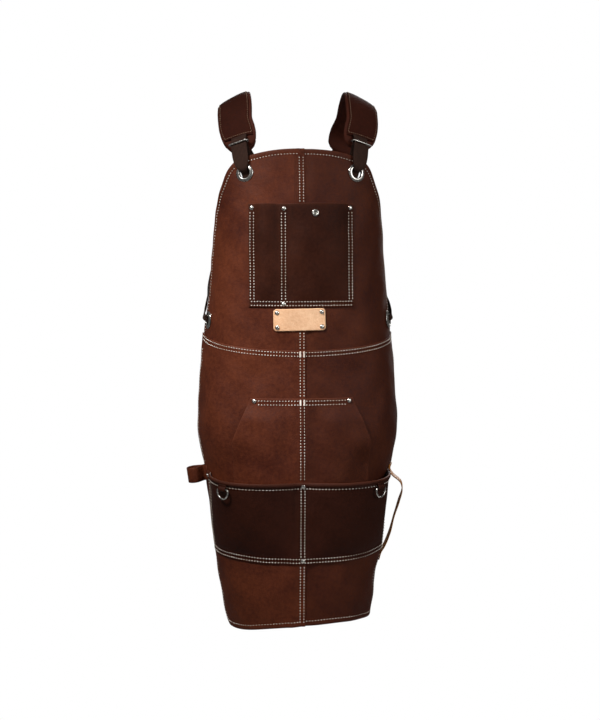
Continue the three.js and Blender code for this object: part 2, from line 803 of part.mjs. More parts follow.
function tabGeometry() {
  const fold = RING_OUT - GAP;
  const outline = new THREE.Shape();
  outline.moveTo(GAP, TAB.height);
  outline.lineTo(GAP, 0);
  outline.absarc(RING_OUT, 0, fold, Math.PI, TAB.wrap, false);
  outline.lineTo(GAP + 2 * LEATHER, TAB.height);
  const bore = new THREE.Path();
  bore.absarc(RING_OUT, 0, D_RING.wire + TAB.running, 0, 2 * Math.PI, true);
  outline.holes.push(bore);
  const options = { depth: TAB.width, bevelEnabled: false, curveSegments: 8 };
  return new THREE.ExtrudeGeometry(outline, options).translate(0, 0, -TAB.width / 2);
}

function ringGeometry() {
  const half = D_RING.width / 2 + D_RING.wire;
  const straight = D_RING.drop - half;
  const path = [];
  for (const t of [1, 0.4, -0.4]) {
    path.push(new THREE.Vector2(t * half, 0));
  }
  for (let k = 0; k <= 8; k++) {
    const turn = Math.PI * (1 + k / 8);
    path.push(new THREE.Vector2(half * Math.cos(turn), half * Math.sin(turn) - straight));
  }
  path.splice(3, 0, new THREE.Vector2(-half, 0));
  const rings = path.map((point, k) => {
    const before = path.at(k - 1);
    const after = path[(k + 1) % path.length];
    const into = point.clone().sub(before).normalize();
    const away = after.clone().sub(point).normalize();
    const side = new THREE.Vector2().addVectors(into, away).normalize();
    const outward = new THREE.Vector2(side.y, -side.x).multiplyScalar(1 / Math.max(0.6, side.dot(into)));
    return Array.from({ length: 6 }, (_, m) => {
      const turn = (Math.PI * m) / 3;
      const aside = D_RING.wire * Math.cos(turn);
      const inPlane = outward.clone().multiplyScalar(aside).add(point);
      return new THREE.Vector3(D_RING.wire * Math.sin(turn), inPlane.y, inPlane.x);
    });
  });
  return loft(rings, true);
}

// Local x points out of the pocket, y up and z along the level bar
function hang(mesh, across, upward, origin) {
  const bar = across.clone().setZ(0).normalize();
  const up = upward.clone().addScaledVector(bar, -upward.dot(bar)).normalize();
  const out = bar.clone().cross(up);
  mesh.quaternion.setFromRotationMatrix(new THREE.Matrix4().makeBasis(out, up, bar.negate()));
  mesh.position.copy(origin);
  return out;
}

for (const [name, side] of [['left', -1], ['right', 1]]) {
  const frame = seat(side * D_RING.s, D_RING.z, (s, z) => toolLift(s, z) + LEATHER);
  const tab = addPiece(`d_ring_tab_${name}`, tabGeometry(), leather('#4f2a1f'));
  const out = hang(tab, frame.across, frame.up, frame.at);
  const bar = frame.at.clone().addScaledVector(out, RING_OUT);
  hang(addPiece(`d_ring_${name}`, ringGeometry(), steel()), frame.across, new THREE.Vector3(0, 0, 1), bar);
}

// Tool loops
const loopBase = (s) => skirtFace(s) + GAP + LEATHER / 2;

function leftLoopStations() {
  return LOOP_LEFT_PATH.map(({ along, out }) => {
    const frame = seat(-LOOP_S + along, LOOP_LEFT_Z, (s) => loopBase(s) + out);
    return { at: frame.at, across: frame.up, width: LOOP_LEFT_BAND };
  });
}

function rightLoopStations() {
  return LOOP_RIGHT_PATH.map(({ z, out }) => {
    const frame = seat(LOOP_S, z, (s) => loopBase(s) + out);
    return { at: frame.at, across: frame.across, width: LOOP_RIGHT_BAND };
  });
}

addPiece('tool_loop_left', strap(leftLoopStations(), LEATHER), leather('#5e3a28'));
addPiece('tool_loop_right', strap(rightLoopStations(), LEATHER), leather('#7a4a22'));

// Grommets
function grommetGeometry() {
  const { bore, tube, rim, crown, back, backRim, washer } = GROMMET;
  const face = LEATHER + GAP;
  const profile = [
    [bore, back - washer],
    [bore, crown - 1.2],
    [bore + 1.4, crown],
    [rim - 1.6, crown - 0.4],
    [rim, face],
    [tube, face],
    [tube, back],
    [backRim, back],
    [backRim, back - washer],
    [bore, back - washer],
  ];
  return turned(profile, ROUND_SIDES);
}

for (const [name, side] of [['left', -1], ['right', 1]]) {
  stand(addPiece(`bib_grommet_${name}`, grommetGeometry(), steel()), grommetSeat(side, BIB_GROMMET));
  stand(addPiece(`waist_grommet_${name}`, grommetGeometry(), steel()), grommetSeat(side, WAIST_GROMMET));
}

// Shoulder pads
const backPoint = (side, across, z, lift) => onBody(side * (halfGirth(z) - across), z, lift);

// A bib grommet's frame, turned so that its upright runs along the leaning webbing
function strapSeat(side) {
  const { at, across, up, out } = grommetSeat(side, BIB_GROMMET);
  const lean = THREE.MathUtils.degToRad(FRONT_STRAP_LEAN) * side;
  const beside = across.clone().applyAxisAngle(out, -lean);
  const along = up.clone().applyAxisAngle(out, -lean);
  return { at, across: beside, up: along, out };
}

function padCurve(side) {
  const frame = strapSeat(side);
  const shoulder = PAD_SHOULDER.map(({ x, y, z }) => new THREE.Vector3(side * x, y, z));
  return new THREE.CatmullRomCurve3([
    ...PAD_FRONT.map(({ up, out }) => fromSeat(frame, 0, up, out)),
    ...shoulder,
    ...PAD_BACK.map(({ across, z }) => backPoint(side, across, z, GAP + PAD / 2)),
  ]);
}

// Middle, side direction and outward direction of a pad at a share of its length
function padFrame(side, curve, share) {
  const at = curve.getPointAt(share);
  const tangent = curve.getTangentAt(share);
  const slope = THREE.MathUtils.degToRad(PAD_SLOPE);
  const top = new THREE.Vector3(Math.cos(slope), 0, -Math.sin(slope) * side);
  const front = strapSeat(side).across;
  const back = front.clone().setY(-front.y);
  const across = new THREE.Vector3();
  if (share < 0.5) {
    across.lerpVectors(front, top, smoothstep(share, 0.15, 0.45));
  } else {
    across.lerpVectors(top, back, smoothstep(share, 0.55, 0.85));
  }
  const square = squareTo(across, tangent);
  return { at, across: square, out: square.clone().cross(tangent) };
}

function addPad(name, side) {
  const curve = padCurve(side);
  const shares = [...PAD_STATIONS, ...PAD_STATIONS.toReversed().map((share) => 1 - share)];
  const widths = [...PAD_ROUNDING, ...PAD_ROUNDING.toReversed()];
  const outline = isLeft(side) ? PAD_SECTION : PAD_SECTION.toReversed(); // mirrored facets
  const rings = shares.map((share, k) => {
    const { at, across, out } = padFrame(side, curve, share);
    return outline.map((corner) => {
      const point = at.clone().addScaledVector(across, (corner.across * widths[k] * PAD_WIDTH) / 2);
      return point.addScaledVector(out, corner.out * PAD);
    });
  });
  addPiece(name, loft(rings), leather('#3f221b'));
}

const SEWN_LIFT = PAD / 2 + PAD_CLEAR + WEBBING / 2; // from the pad's middle to the webbing's middle

// Front webbing: sewn end on the pad, down through the keeper and the grommet, and up behind the bib
function frontStrapStations(side) {
  const curve = padCurve(side);
  const sewn = FRONT_SEWN.map((share) => {
    const { at, across, out } = padFrame(side, curve, share);
    return { at: at.addScaledVector(out, SEWN_LIFT), across, width: WEBBING_WIDTH };
  });
  const frame = strapSeat(side);
  const hung = FRONT_STRAP.map(({ out, up, width }) => {
    return { at: fromSeat(frame, 0, up, out), across: frame.across, width };
  });
  return [...sewn, ...hung];
}

function keeperGeometry() {
  const { width, height, wire } = KEEPER;
  const frame = new THREE.Shape();
  const halfWidth = width / 2 + wire;
  const halfHeight = height / 2 + wire;
  frame.moveTo(-halfWidth, -halfHeight + wire);
  frame.absarc(-halfWidth + wire, -halfHeight + wire, wire, Math.PI, 1.5 * Math.PI, false);
  frame.absarc(halfWidth - wire, -halfHeight + wire, wire, 1.5 * Math.PI, 2 * Math.PI, false);
  frame.absarc(halfWidth - wire, halfHeight - wire, wire, 0, 0.5 * Math.PI, false);
  frame.absarc(-halfWidth + wire, halfHeight - wire, wire, 0.5 * Math.PI, Math.PI, false);
  const slot = new THREE.Path();
  slot.moveTo(-width / 2, -height / 2);
  slot.lineTo(-width / 2, height / 2);
  slot.lineTo(width / 2, height / 2);
  slot.lineTo(width / 2, -height / 2);
  frame.holes.push(slot);
  const options = { depth: wire, bevelEnabled: false, curveSegments: 2 };
  return new THREE.ExtrudeGeometry(frame, options).translate(0, 0, -wire / 2);
}

function addKeeper(name, side) {
  const frame = strapSeat(side);
  const front = FRONT_STRAP[0];
  const back = FRONT_STRAP.at(-1);
  const inward = frame.up.clone().cross(frame.across);
  const basis = new THREE.Matrix4().makeBasis(frame.across, inward, frame.up);
  const mesh = addPiece(name, keeperGeometry(), steel());
  mesh.quaternion.setFromRotationMatrix(basis);
  mesh.position.copy(fromSeat(frame, 0, KEEPER.up, (front.out + back.out) / 2));
}

// Back webbing of one pad: sewn on the pad's back end, across the back, round the other side's grommet
function backStrapStations(side, over) {
  const endZ = WAIST_GROMMET.z;
  const endAcross = -(halfGirth(endZ) - WAIST_LOOP[0].s);
  const firstZ = endZ + (WAIST_LOOP[0].s - WAIST_GROMMET.s) * WAIST_RISE_RATE;
  const fall = (firstZ - BACK_TOP.z) / (endAcross - BACK_TOP.across);
  const place = (across, lift) => {
    const z = BACK_TOP.z + fall * (across - BACK_TOP.across);
    const s = across >= 0 ? side * (halfGirth(z) - across) : -side * (halfGirth(z) + across);
    return { at: onBody(s, z, lift), out: formNormal(s, z) };
  };
  const curve = padCurve(side);
  const path = BACK_SEWN.map((share) => {
    const { at, out } = padFrame(side, curve, 1 - share);
    return { at: at.addScaledVector(out, SEWN_LIFT), out };
  });
  for (let k = 0; k <= BACK_STEPS; k++) {
    const across = lerp(BACK_TOP.across, endAcross, k / (BACK_STEPS + 1));
    const away = Math.abs(across);
    const raised = 1 - smoothstep(away, BACK_CROSSING.full, BACK_CROSSING.clear);
    const crossing = over * (WEBBING + GAP) * raised;
    const offPad = (PAD + PAD_CLEAR) * (1 - smoothstep(k, 0, BACK_OFF_PAD));
    path.push(place(across, BACK_LIFT + crossing + offPad));
  }
  const points = path.map((spot) => spot.at);
  const run = path.map((spot, k) => {
    const across = spot.out.clone().cross(tangentAt(points, k)).normalize();
    return { at: spot.at, across, width: WEBBING_WIDTH };
  });
  return [...run, ...waistLoopStations(-side, run.at(-1).across)];
}

function waistLoopStations(side, lastAcross) {
  const slant = Math.atan(WAIST_RISE_RATE);
  return WAIST_LOOP.map(({ s, out, width }) => {
    const z = WAIST_GROMMET.z + (s - WAIST_GROMMET.s) * WAIST_RISE_RATE;
    const frame = seat(side * s, z, () => out);
    const across = frame.up.clone().multiplyScalar(Math.cos(slant));
    across.addScaledVector(frame.across, -side * Math.sin(slant));
    if (across.dot(lastAcross) < 0) {
      across.negate();
    }
    return { at: frame.at, across, width };
  });
}

for (const [name, side, over] of [['left', -1, 1], ['right', 1, 0]]) {
  addPad(`shoulder_pad_${name}`, side);
  addPiece(`front_strap_${name}`, strap(frontStrapStations(side), WEBBING), webbing());
  addKeeper(`strap_keeper_${name}`, side);
  addPiece(`back_strap_${name}`, strap(backStrapStations(side, over), WEBBING), webbing());
}

apron.position.z = -SHOULDERS;

export default apron;
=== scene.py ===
"""Looks of a leather work apron in its worn form: panels, pockets, hardware, webbing and stitches."""
import math

import bpy
import numpy as np
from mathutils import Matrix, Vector


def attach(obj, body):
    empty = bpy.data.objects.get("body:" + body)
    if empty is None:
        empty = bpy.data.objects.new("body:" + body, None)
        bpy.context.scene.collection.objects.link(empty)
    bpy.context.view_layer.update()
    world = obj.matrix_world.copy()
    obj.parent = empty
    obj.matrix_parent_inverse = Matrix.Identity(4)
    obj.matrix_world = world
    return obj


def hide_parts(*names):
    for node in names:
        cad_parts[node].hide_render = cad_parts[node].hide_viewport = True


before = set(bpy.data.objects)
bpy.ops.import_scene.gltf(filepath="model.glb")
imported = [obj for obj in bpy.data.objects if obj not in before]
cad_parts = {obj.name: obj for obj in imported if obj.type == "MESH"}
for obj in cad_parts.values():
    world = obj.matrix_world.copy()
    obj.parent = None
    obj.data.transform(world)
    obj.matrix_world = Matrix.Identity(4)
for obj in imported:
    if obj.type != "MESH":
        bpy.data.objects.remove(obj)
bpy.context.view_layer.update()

bl_info = {
    "name": "Leather work apron",
    "version": (1, 0, 0),
    "blender": (4, 5, 0),
    "location": "View3D > Sidebar > Apron",
    "description": "Builds the leather, hardware, webbing and stitches of a work apron",
    "category": "Add Mesh",
}

MM = 0.001
RAISED = np.array([0, 0, 21])  # from the heights in these tables to the shoulders' level
ROOT = "apron"
SIDES = {"left": -1, "right": 1}


def table(names, *rows):
    """A short table as named columns."""
    return dict(zip(names.split(), np.array(rows, float).T))


# Sheet sizes in millimetres.
LEATHER = 1.8
WEBBING = 1.8
WEBBING_WIDTH = 30
GAP = 0.35
LAYER = LEATHER + GAP

# The worn form: half width, depth and front of each level's section.
BODY = table(
    "z half depth front",
    (-60, 142, 112, -84), (-107, 148, 116, -98), (-200, 151, 123, -114),
    (-280, 152, 127, -120), (-340, 156, 128, -121), (-404, 162, 129, -122),
    (-459, 167, 130, -122), (-520, 172, 132, -125), (-600, 175, 134, -130),
    (-676, 161, 131, -131), (-767, 151, 126, -129), (-852, 141, 119, -125),
    (-921, 129, 111, -119), (-960, 121, 106, -115),
)
ROUNDNESS = 2.4
TURN = np.linspace(0, math.pi, 481)
SIDEWAYS = np.abs(np.sin(TURN)) ** (2 / ROUNDNESS)
FACING = np.sign(np.cos(TURN)) * np.abs(np.cos(TURN)) ** (2 / ROUNDNESS)

# Soft folds: where each one lies, how far it spreads and how far it stands out.
FOLDS = table(
    "s z width height depth",
    (0, -900, 15, 55, -3.5), (-78, -890, 42, 60, 4), (84, -895, 40, 55, 3),
    (176, -862, 24, 22, -5), (-152, -570, 34, 60, 3), (150, -570, 34, 60, 3),
    (-70, -490, 40, 26, -2), (74, -492, 40, 26, -2),
)
# Shallow waves of worn leather: wave length, slant and depth.
WAVES = table(
    "length slant phase depth",
    (118, 0.5, 0.3, 0.5), (83, -0.9, 1.9, 0.4), (61, 1.3, 4.1, 0.25), (47, -0.3, 2.6, 0.2),
)
WAVES_END = (235, 260)  # reach from the centre over which the waves fade
CALM = 30  # around a D-ring's tab, which lies flat

# Panel outlines.
BIB_TOP = -106
BIB_TOP_DROP = 20
BIB_TOP_CURVE = 2.2
BIB_CORNER = 116
WAIST_REACH = 207
UNDER_SKIRT = 22
WAIST = -450
WAIST_RISE = 20  # from the centre to the sides
BIB_EDGE_END = -455
SKIRT_EDGE_START = -431
SIDE_EDGE = table(
    "z s",
    (-126, 116), (-140, 131), (-166, 148), (-193, 164), (-230, 179), (-280, 190),
    (-340, 201), (-404, 217), (-450, 226), (-520, 232), (-600, 232), (-680, 222),
    (-760, 210), (-840, 197), (-900, 184), (-960, 178),
)
HEM = table(
    "s z",
    (-200, -952), (-125, -948), (-57, -939), (0, -934), (68, -930), (125, -933), (200, -940),
)
HEM_CORNER = 28
HEM_LEVEL = -952
HEM_TILT = (800, 916)  # depths over which the side edge comes to lean with the hem
BIB_MESH = {"down": 370, "across": 190}
SKIRT_MESH = {"turn": -872, "yoke": 74, "across": 225}
LAP = {"start": -28, "under": -14, "edge": 6, "clear": 7, "end": 24}

CHEST = {"half": 91, "top": -200, "bottom": -376, "divider": -31, "seam": 11, "pen": 9, "phone": 12}
CHEST_RIVETS = ((-85, -207), (-30, -208), (85, -207), (-31, -370))
SNAP = (21.5, -216.5)
LABEL = {
    "s": -4, "z": -397, "width": 89, "height": 38, "corner": 6, "thick": 2.4, "tilt": 1.1,
    "inset": 6.5, "mesh": 1.6,
}
HAND = {
    "top": -532, "slant_end": -609, "bottom": -716, "top_half": 88, "half": 119, "depth": 6,
    "hem": 5, "hem_rise": 0.5, "rivet_clear": 0.4,
}
# Where the hand pocket comes to stand off: from its ends, at the slants and from the middle.
HAND_STANDS = {"ends": (8, 42), "slant": (-8, 42), "sides": (50, 112), "middle": (8, 58.8)}
HAND_RIVETS = ((-81, -537), (81, -537))
TOOL = {
    "half": 192, "mouth": -676, "bottom": -821, "seam_row": -807, "rise": 8, "seam": 12, "depth": 27,
    "rivet_sink": 0.8,
}
TOOL_OVER_HAND = {"down": (-758, -724), "across": (16, 40)}
TOOL_RIVETS = {"left": (-187, -683), "centre": (1, -683), "right": (187, -683), "bottom": (1, -814)}
D_RING = {"s": 123, "z": -687, "half": 12.5, "leg": 3.5, "wire": 1.5, "running": 0.45, "bend": 2.6}
TAB = {"width": 17, "height": 9}
BIB_GROMMET = (98, -147)
WAIST_GROMMET = (196, -403)
GROMMET_HOLE = 12
STRAP_LEAN = 16

# Turned hardware as rows of (radius, height).
RIVET_CAP = (
    (0.01, 2.2), (1.2, 2.15), (2.3, 1.85), (3.2, 1.3), (3.8, 0.7), (4, 0.3), (3.9, 0.02), (0.01, 0.02),
)
SNAP_RING = (
    (2.6, 0.02), (2.6, 1.2), (3.1, 2.0), (4.2, 2.4), (5.2, 2.1), (6, 1.2), (6.2, 0.5), (6.1, 0.02),
)
SNAP_STUD = ((0.01, 0.9), (1.4, 0.85), (2.1, 0.6), (2.3, 0.02), (0.01, 0.02))
GROMMET = (
    (9.5, -0.9), (9.5, 3.2), (9.9, 4.0), (10.8, 4.4), (12.2, 4.3), (13.8, 3.7), (15.2, 2.9), (16, 2.3),
    (15.8, 2.0), (10.7, 1.9), (10.7, -0.1), (13.7, -0.2), (14, -0.6), (13.2, -1.2), (11.4, -1.6), (10, -1.4),
)

# Webbing through a bib grommet, in the grommet's frame.
FRONT_STRAP = table(
    "out up width",
    (2.5, 54.5, 30), (4.6, 42, 30), (6, 29, 30), (6.8, 18, 27), (6.8, 10.5, 22), (5.4, 5.6, 15.5),
    (2.8, 3.4, 12.5), (0, 2.6, 12.5), (-2.8, 0.4, 13), (-4.4, -4.6, 15), (-6, -8.2, 17), (-7.8, -6, 19),
    (-7.8, 4, 22), (-6.3, 16, 25), (-5.3, 28, 29), (-4.4, 39, 30), (-2, 48, 30), (-0.4, 55.5, 30),
)
# Webbing through a waist grommet, along the form.
WAIST_LOOP = table(
    "s out width",
    (238, 1.7, 30), (228, 3.4, 29), (219, 5.4, 26), (211, 7.4, 20), (204.5, 8.4, 15), (200, 6.6, 13),
    (198.2, 3, 12.5), (198, 0, 12.5), (199.2, -3, 13), (204, -5.4, 17), (213, -5.6, 24),
    (225, -4.4, 29), (238, -2.4, 30), (250, -1.6, 30),
)
WAIST_SLOPE = 0.77
BACK_TOP = (76, -118)
BACK_STATIONS = 17
BACK_LIFT = 1.3
BACK_OFF_PAD = 10.7  # extra lift where the webbing leaves a pad
BACK_CROSSING = (30, 75)  # reach from the centre back over which one webbing passes over the other
BACK_WAY = (0.64, 0.77)  # its run across and up the back
WEBBING_CUP = -0.06
# Webbing sewn into a pad: shares of the pad's length and heights.
SEWN_FRONT = ((0.16, 2.3), (0.12, 2.4), (0.09, 2.8), (0.07, 4.2))
SEWN_BACK = ((0.88, 2.3), (0.91, 2.4), (0.94, 2.8), (0.97, 4.6))
LOOP_LEFT = table(
    "along out",
    (12, 0), (7, 0), (4, 2), (4, 6), (8, 13), (11, 21), (9, 28), (4, 32),
    (-4, 32), (-9, 28), (-11, 21), (-8, 13), (-4, 6), (-4, 2), (-7, 0), (-12, 0),
)
LOOP_RIGHT = table(
    "z out",
    (-662, 0), (-673, 0), (-681, 7), (-692, 22), (-706, 27), (-728, 24), (-757, 18),
    (-786, 13), (-812, 7), (-826, 1), (-838, 0),
)
LOOP_SEAT = {"s": 206, "z": -673, "left_width": 27, "right_width": 26}

# Shoulder pads: their run over the shoulder and their tapering ends.
PAD = {"width": 66, "thick": 9, "cover": 57, "lean": 28, "fill": 0.6}
PAD_FRONT = ((44, -11.5), (62, -9))
PAD_TOP = (
    (111, -53, -62), (111.5, -40, -38), (112, -10, -19.5), (112, 32, -17), (111, 70, -31), (108, 97, -55),
)
PAD_BACK = ((99, -78), (85, -104))
PAD_TAPER = table(
    "share width",
    (0, 0.3), (0.012, 0.58), (0.035, 0.82), (0.07, 0.95), (0.105, 1), (0.15, 1), (0.28, 0.98), (0.5, 0.96),
)
PAD_TURNS = ((0.15, 0.45), (0.55, 0.85))  # shares over which a pad turns onto and off the shoulder
PAD_BASE = (
    (-1, -2.2), (-0.93, -3.9), (-0.8, -4.5), (0.8, -4.5), (0.93, -3.9), (1, -2.2), (0.98, -0.4),
    (0.92, 0.7), (0.84, 1.0), (0.5, 1.0), (-0.5, 1.0), (-0.84, 1.0), (-0.92, 0.7), (-0.98, -0.4),
)
# A pad's cover: ends and skew as shares of the pad's length, heights in millimetres.
COVER = {
    "ends": (0.075, 0.95), "round": 0.012, "skew": 0.016, "square_to": 0.3, "row": 0.93,
    "edge": 2.4, "rise": 4.9, "under": 1.1,
}
KEEPER = {"half": 17.7, "rise": 4.8, "wire": 1.2, "corner": 2.6, "up": 54, "out": 1.05}

# One stitch: shares of its length, of its thickness and of its height above the leather.
STITCH = table(
    "along thick rise",
    (0, 0.45, -0.25), (0.2, 0.9, 0.2), (0.5, 1, 0.35), (0.8, 0.9, 0.2), (1, 0.45, -0.25),
)
STITCH_SIDES = 6
PAD_SEWING = {"pitch": 0.8, "stitch": 0.8, "thread": 0.55}  # shares of the panels' stitches
SEAM = (-3.1, 3.4)  # the two rows of the centre seam
# The two rows along other edges, how far rows keep clear of things, and where edge rows start and end.
ROWS = {
    "waist": (3.4, 9.6), "chest": (3.2, 9.6), "chest_foot": (3.2, 9.8), "hand": (4.6, 11.2),
    "tool": (3.4, 9.8),
}
CLEAR = {
    "hem": 13, "label": 21, "rivet": 13, "divider": 14, "tack": 14, "foot": 12, "side": 3,
    "fold": 0.5, "welt": 1.8, "welt_end": 12,
}
SKIRT_SIDE_FROM = 150
TOOL_SEAM_SHIFT = 0.6
BIB_SIDE_ROW = (-138, -428)
SKIRT_SIDE_ROW = (-452, -664)
WAIST_ROW_REACH = 214
HAND_ROW_REACH = 76
TACK = {"width": 3.2, "pitch": 0.9, "rows": 11, "below_waist": 1.8, "below_hand": 3}

# The stage: floor in millimetres, lights as place, target, width, watts and spread in degrees.
WHITE = "#ffffff"
FLOOR = {"level": -1400, "radius": 680, "sides": 96}
LIGHTS = {
    "key": ((-0.95, -1.0, 0.99), (-0.05, -0.12, -0.46), 0.5, 2.0, 28),
    "fill": ((1.9, -1.9, 0.5), (0.03, 0.0, -0.25), 1.6, 6.5, 70),
    "back": ((0.7, 2.4, 0.5), (0.0, 0.0, -0.45), 1.8, 11.0, 60),
}
AMBIENT = 0.1
CAMERA = {
    "place": (-0.178, -2.624, -0.198), "heading": (0.0697, 0.9976), "tilt": 5.63,
    "lens": 73.5, "sensor": 36, "clip_end": 100,
}

# Close rows of a mesh at a sheet's rim, and the width of its rubbed edge.
RIM_STEPS = np.array([0, 0.3, 0.9, 1.8])
RIM_BAND = 3.2
RUBBED_EDGE = 2.2
CHUNK = 4000  # points placed on the form at once


def linear(code):
    """Linear RGBA of an sRGB hex colour."""
    parts = [int(code[i:i + 2], 16) / 255 for i in (1, 3, 5)]
    return tuple(c / 12.92 if c <= 0.04045 else ((c + 0.055) / 1.055) ** 2.4 for c in parts) + (1.0,)


def read(columns, key, column, at):
    """Smooth reading of a table's column at a key."""
    keys, values = columns[key], columns[column]
    if keys[0] > keys[-1]:
        keys, values = keys[::-1], values[::-1]
    count = len(keys)
    place = np.arange(count)
    before, after = np.maximum(place - 1, 0), np.minimum(place + 1, count - 1)
    slopes = (values[after] - values[before]) / (keys[after] - keys[before])
    at = np.asarray(at, float)
    i = np.clip(np.searchsorted(keys, at) - 1, 0, count - 2)
    span = keys[i + 1] - keys[i]
    t = np.clip((at - keys[i]) / span, 0, 1)
    eased = values[i] + (values[i + 1] - values[i]) * t * t * (3 - 2 * t)
    return eased + span * (slopes[i] * t * (1 - t) ** 2 - slopes[i + 1] * t * t * (1 - t))


def step(at, low, high):
    """Smooth step from 0 at low to 1 at high."""
    t = np.clip((np.asarray(at, float) - low) / (high - low), 0, 1)
    return t * t * (3 - 2 * t)


def unit(vectors):
    """Vectors of length one."""
    return vectors / np.linalg.norm(vectors, axis=-1, keepdims=True)


def sections(z):
    """Outline of the form at each level, with the way run along it from the centre front."""
    half, depth, front = (read(BODY, "z", name, z)[:, None] for name in ("half", "depth", "front"))
    x = half * SIDEWAYS
    y = front + depth * (1 - FACING)
    run = np.zeros_like(x)
    run[:, 1:] = np.cumsum(np.hypot(np.diff(x), np.diff(y)), axis=1)
    return x, y, run


def half_girth(z):
    """Way from the centre front to the centre back."""
    return sections(np.atleast_1d(np.asarray(z, float)))[2][:, -1]


def form(s, z):
    """Points of the bare form, s along each level's section from the centre front."""
    s, z = np.broadcast_arrays(np.asarray(s, float), np.asarray(z, float))
    shape, s, z = s.shape, s.ravel(), z.ravel()
    points = np.empty((len(s), 3))
    for low in range(0, len(s), CHUNK):
        part = slice(low, low + CHUNK)
        x, y, run = sections(z[part])
        reach = np.minimum(np.abs(s[part]), run[:, -1])
        rows = np.arange(len(reach))
        k = np.clip((run < reach[:, None]).sum(axis=1), 1, len(TURN) - 1)
        t = (reach - run[rows, k - 1]) / (run[rows, k] - run[rows, k - 1])
        side = np.where(s[part] < 0, -1, 1)
        points[part, 0] = side * (x[rows, k - 1] + t * (x[rows, k] - x[rows, k - 1]))
        points[part, 1] = y[rows, k - 1] + t * (y[rows, k] - y[rows, k - 1])
    points[:, 2] = z
    return points.reshape(shape + (3,))


def relief(s, z):
    """How far the folds and shallow waves stand out from the form."""
    s, z = np.asarray(s, float), np.asarray(z, float)
    total = 0
    for at_s, at_z, width, height, depth in zip(*FOLDS.values()):
        total = total + depth * np.exp(-((s - at_s) / width) ** 2 - ((z - at_z) / height) ** 2)
    wave = 0
    for length, slant, phase, depth in zip(*WAVES.values()):
        wave = wave + depth * np.sin(2 * math.pi * (s + slant * z) / length + phase)
    calm = np.exp(-((np.abs(s) - D_RING["s"]) ** 2 + (z - D_RING["z"]) ** 2) / CALM ** 2)
    return total + wave * (1 - calm) * (1 - step(np.abs(s), *WAVES_END))


def outward(s, z):
    """Unit normals of the form."""
    s, z = np.asarray(s, float), np.asarray(z, float)
    return unit(np.cross(form(s + 1, z) - form(s - 1, z), form(s, z + 1) - form(s, z - 1)))


def on_body(s, z, lift):
    """Points lifted off the folded form."""
    return form(s, z) + outward(s, z) * (np.asarray(lift, float) + relief(s, z))[..., None]


def seat(s, z, lift):
    """Place and axes (across, up, out) of something lying on a lifted surface."""
    reach = 1.5
    at = on_body(s, z, lift(s, z))
    across = unit(on_body(s + reach, z, lift(s + reach, z)) - on_body(s - reach, z, lift(s - reach, z)))
    up = on_body(s, z + reach, lift(s, z + reach)) - on_body(s, z - reach, lift(s, z - reach))
    out = unit(np.cross(across, up))
    return at, across, np.cross(out, across), out


def from_seat(place, aside, up, out):
    """Points in a seat's frame."""
    at, a, u, o = place
    aside, up, out = (np.asarray(v, float)[..., None] for v in (aside, up, out))
    return at + a * aside + u * up + o * out


# Outline and lift of each leather piece, in millimetres from the form.

def bib_top(s):
    return BIB_TOP - BIB_TOP_DROP * (np.minimum(np.abs(s), BIB_CORNER) / BIB_CORNER) ** BIB_TOP_CURVE


def waist_line(s):
    return WAIST + WAIST_RISE * (np.asarray(s) / WAIST_REACH) ** 2


def side_edge(z):
    return read(SIDE_EDGE, "z", "s", z)


def hem_line(s):
    return read(HEM, "s", "z", s)


def corner_edge(above):
    """Side edge beside the rounded hem corner."""
    return side_edge(HEM_LEVEL + above) - (HEM_CORNER - np.sqrt(HEM_CORNER ** 2 - (HEM_CORNER - above) ** 2))


def past_lap(s):
    return step(s, LAP["clear"], LAP["end"])


def onto_lap(s):
    return step(s, LAP["start"], LAP["under"])


def bib_outline(side):
    """Edge of one bib panel from the centre top to the waist."""
    s = np.linspace(0, BIB_CORNER, 50)
    z = np.linspace(bib_top(BIB_CORNER), BIB_EDGE_END, 120)[1:]
    return np.stack([side * np.r_[s, side_edge(z)], np.r_[bib_top(s), z]], axis=1)


def skirt_outline(side):
    """Edge of one skirt panel from the waist to the centre of the hem."""
    z = np.linspace(SKIRT_EDGE_START, HEM_LEVEL + HEM_CORNER, 160)
    above = HEM_CORNER * (1 - np.sin(np.linspace(0, math.pi / 2, 24)))[1:]
    bend = corner_edge(above)
    s = np.linspace(bend[-1], 0, 70)[1:]
    lower = np.r_[hem_line(side * bend) + above, hem_line(side * s)]
    drop = (hem_line(side * bend[0]) - HEM_LEVEL) * step(-z, *HEM_TILT)
    return np.stack([side * np.r_[side_edge(z), bend, s], np.r_[z + drop, lower]], axis=1)


def inset(line, distance, side):
    """A line moved inward from a panel's edge."""
    along = unit(np.gradient(line, axis=0))
    inward = np.stack([along[:, 1], -along[:, 0]], axis=1) * side
    return line + inward * distance


def edge_distance(s, z, line):
    """Distance in the sheet from an outline."""
    points = np.stack([s.ravel(), z.ravel()], axis=1)
    best = np.full(len(points), 1e9)
    for a, b in zip(line[:-1], line[1:]):
        along = b - a
        t = np.clip((points - a) @ along / (along @ along), 0, 1)
        best = np.minimum(best, np.linalg.norm(points - a - t[:, None] * along, axis=1))
    return best.reshape(s.shape)


def turned_hem(distance, width, rise):
    """Swell of leather folded over at an edge."""
    return rise * np.sin(math.pi * np.clip(distance / width, 0, 1)) ** 0.7


def bib_lift(s, z):
    return np.where(np.asarray(s) > LAP["edge"], -LAYER * (1 - past_lap(s)), 0.0) + 0 * np.asarray(z)


def skirt_lift(s, z):
    return LAYER + np.where(np.asarray(s) > LAP["edge"], 0.0, LAYER * onto_lap(s)) + 0 * np.asarray(z)


def skirt_face(s):
    """Lift of whatever lies over both skirt panels."""
    return LAYER + LEATHER + LAYER * onto_lap(s) * (1 - past_lap(s))


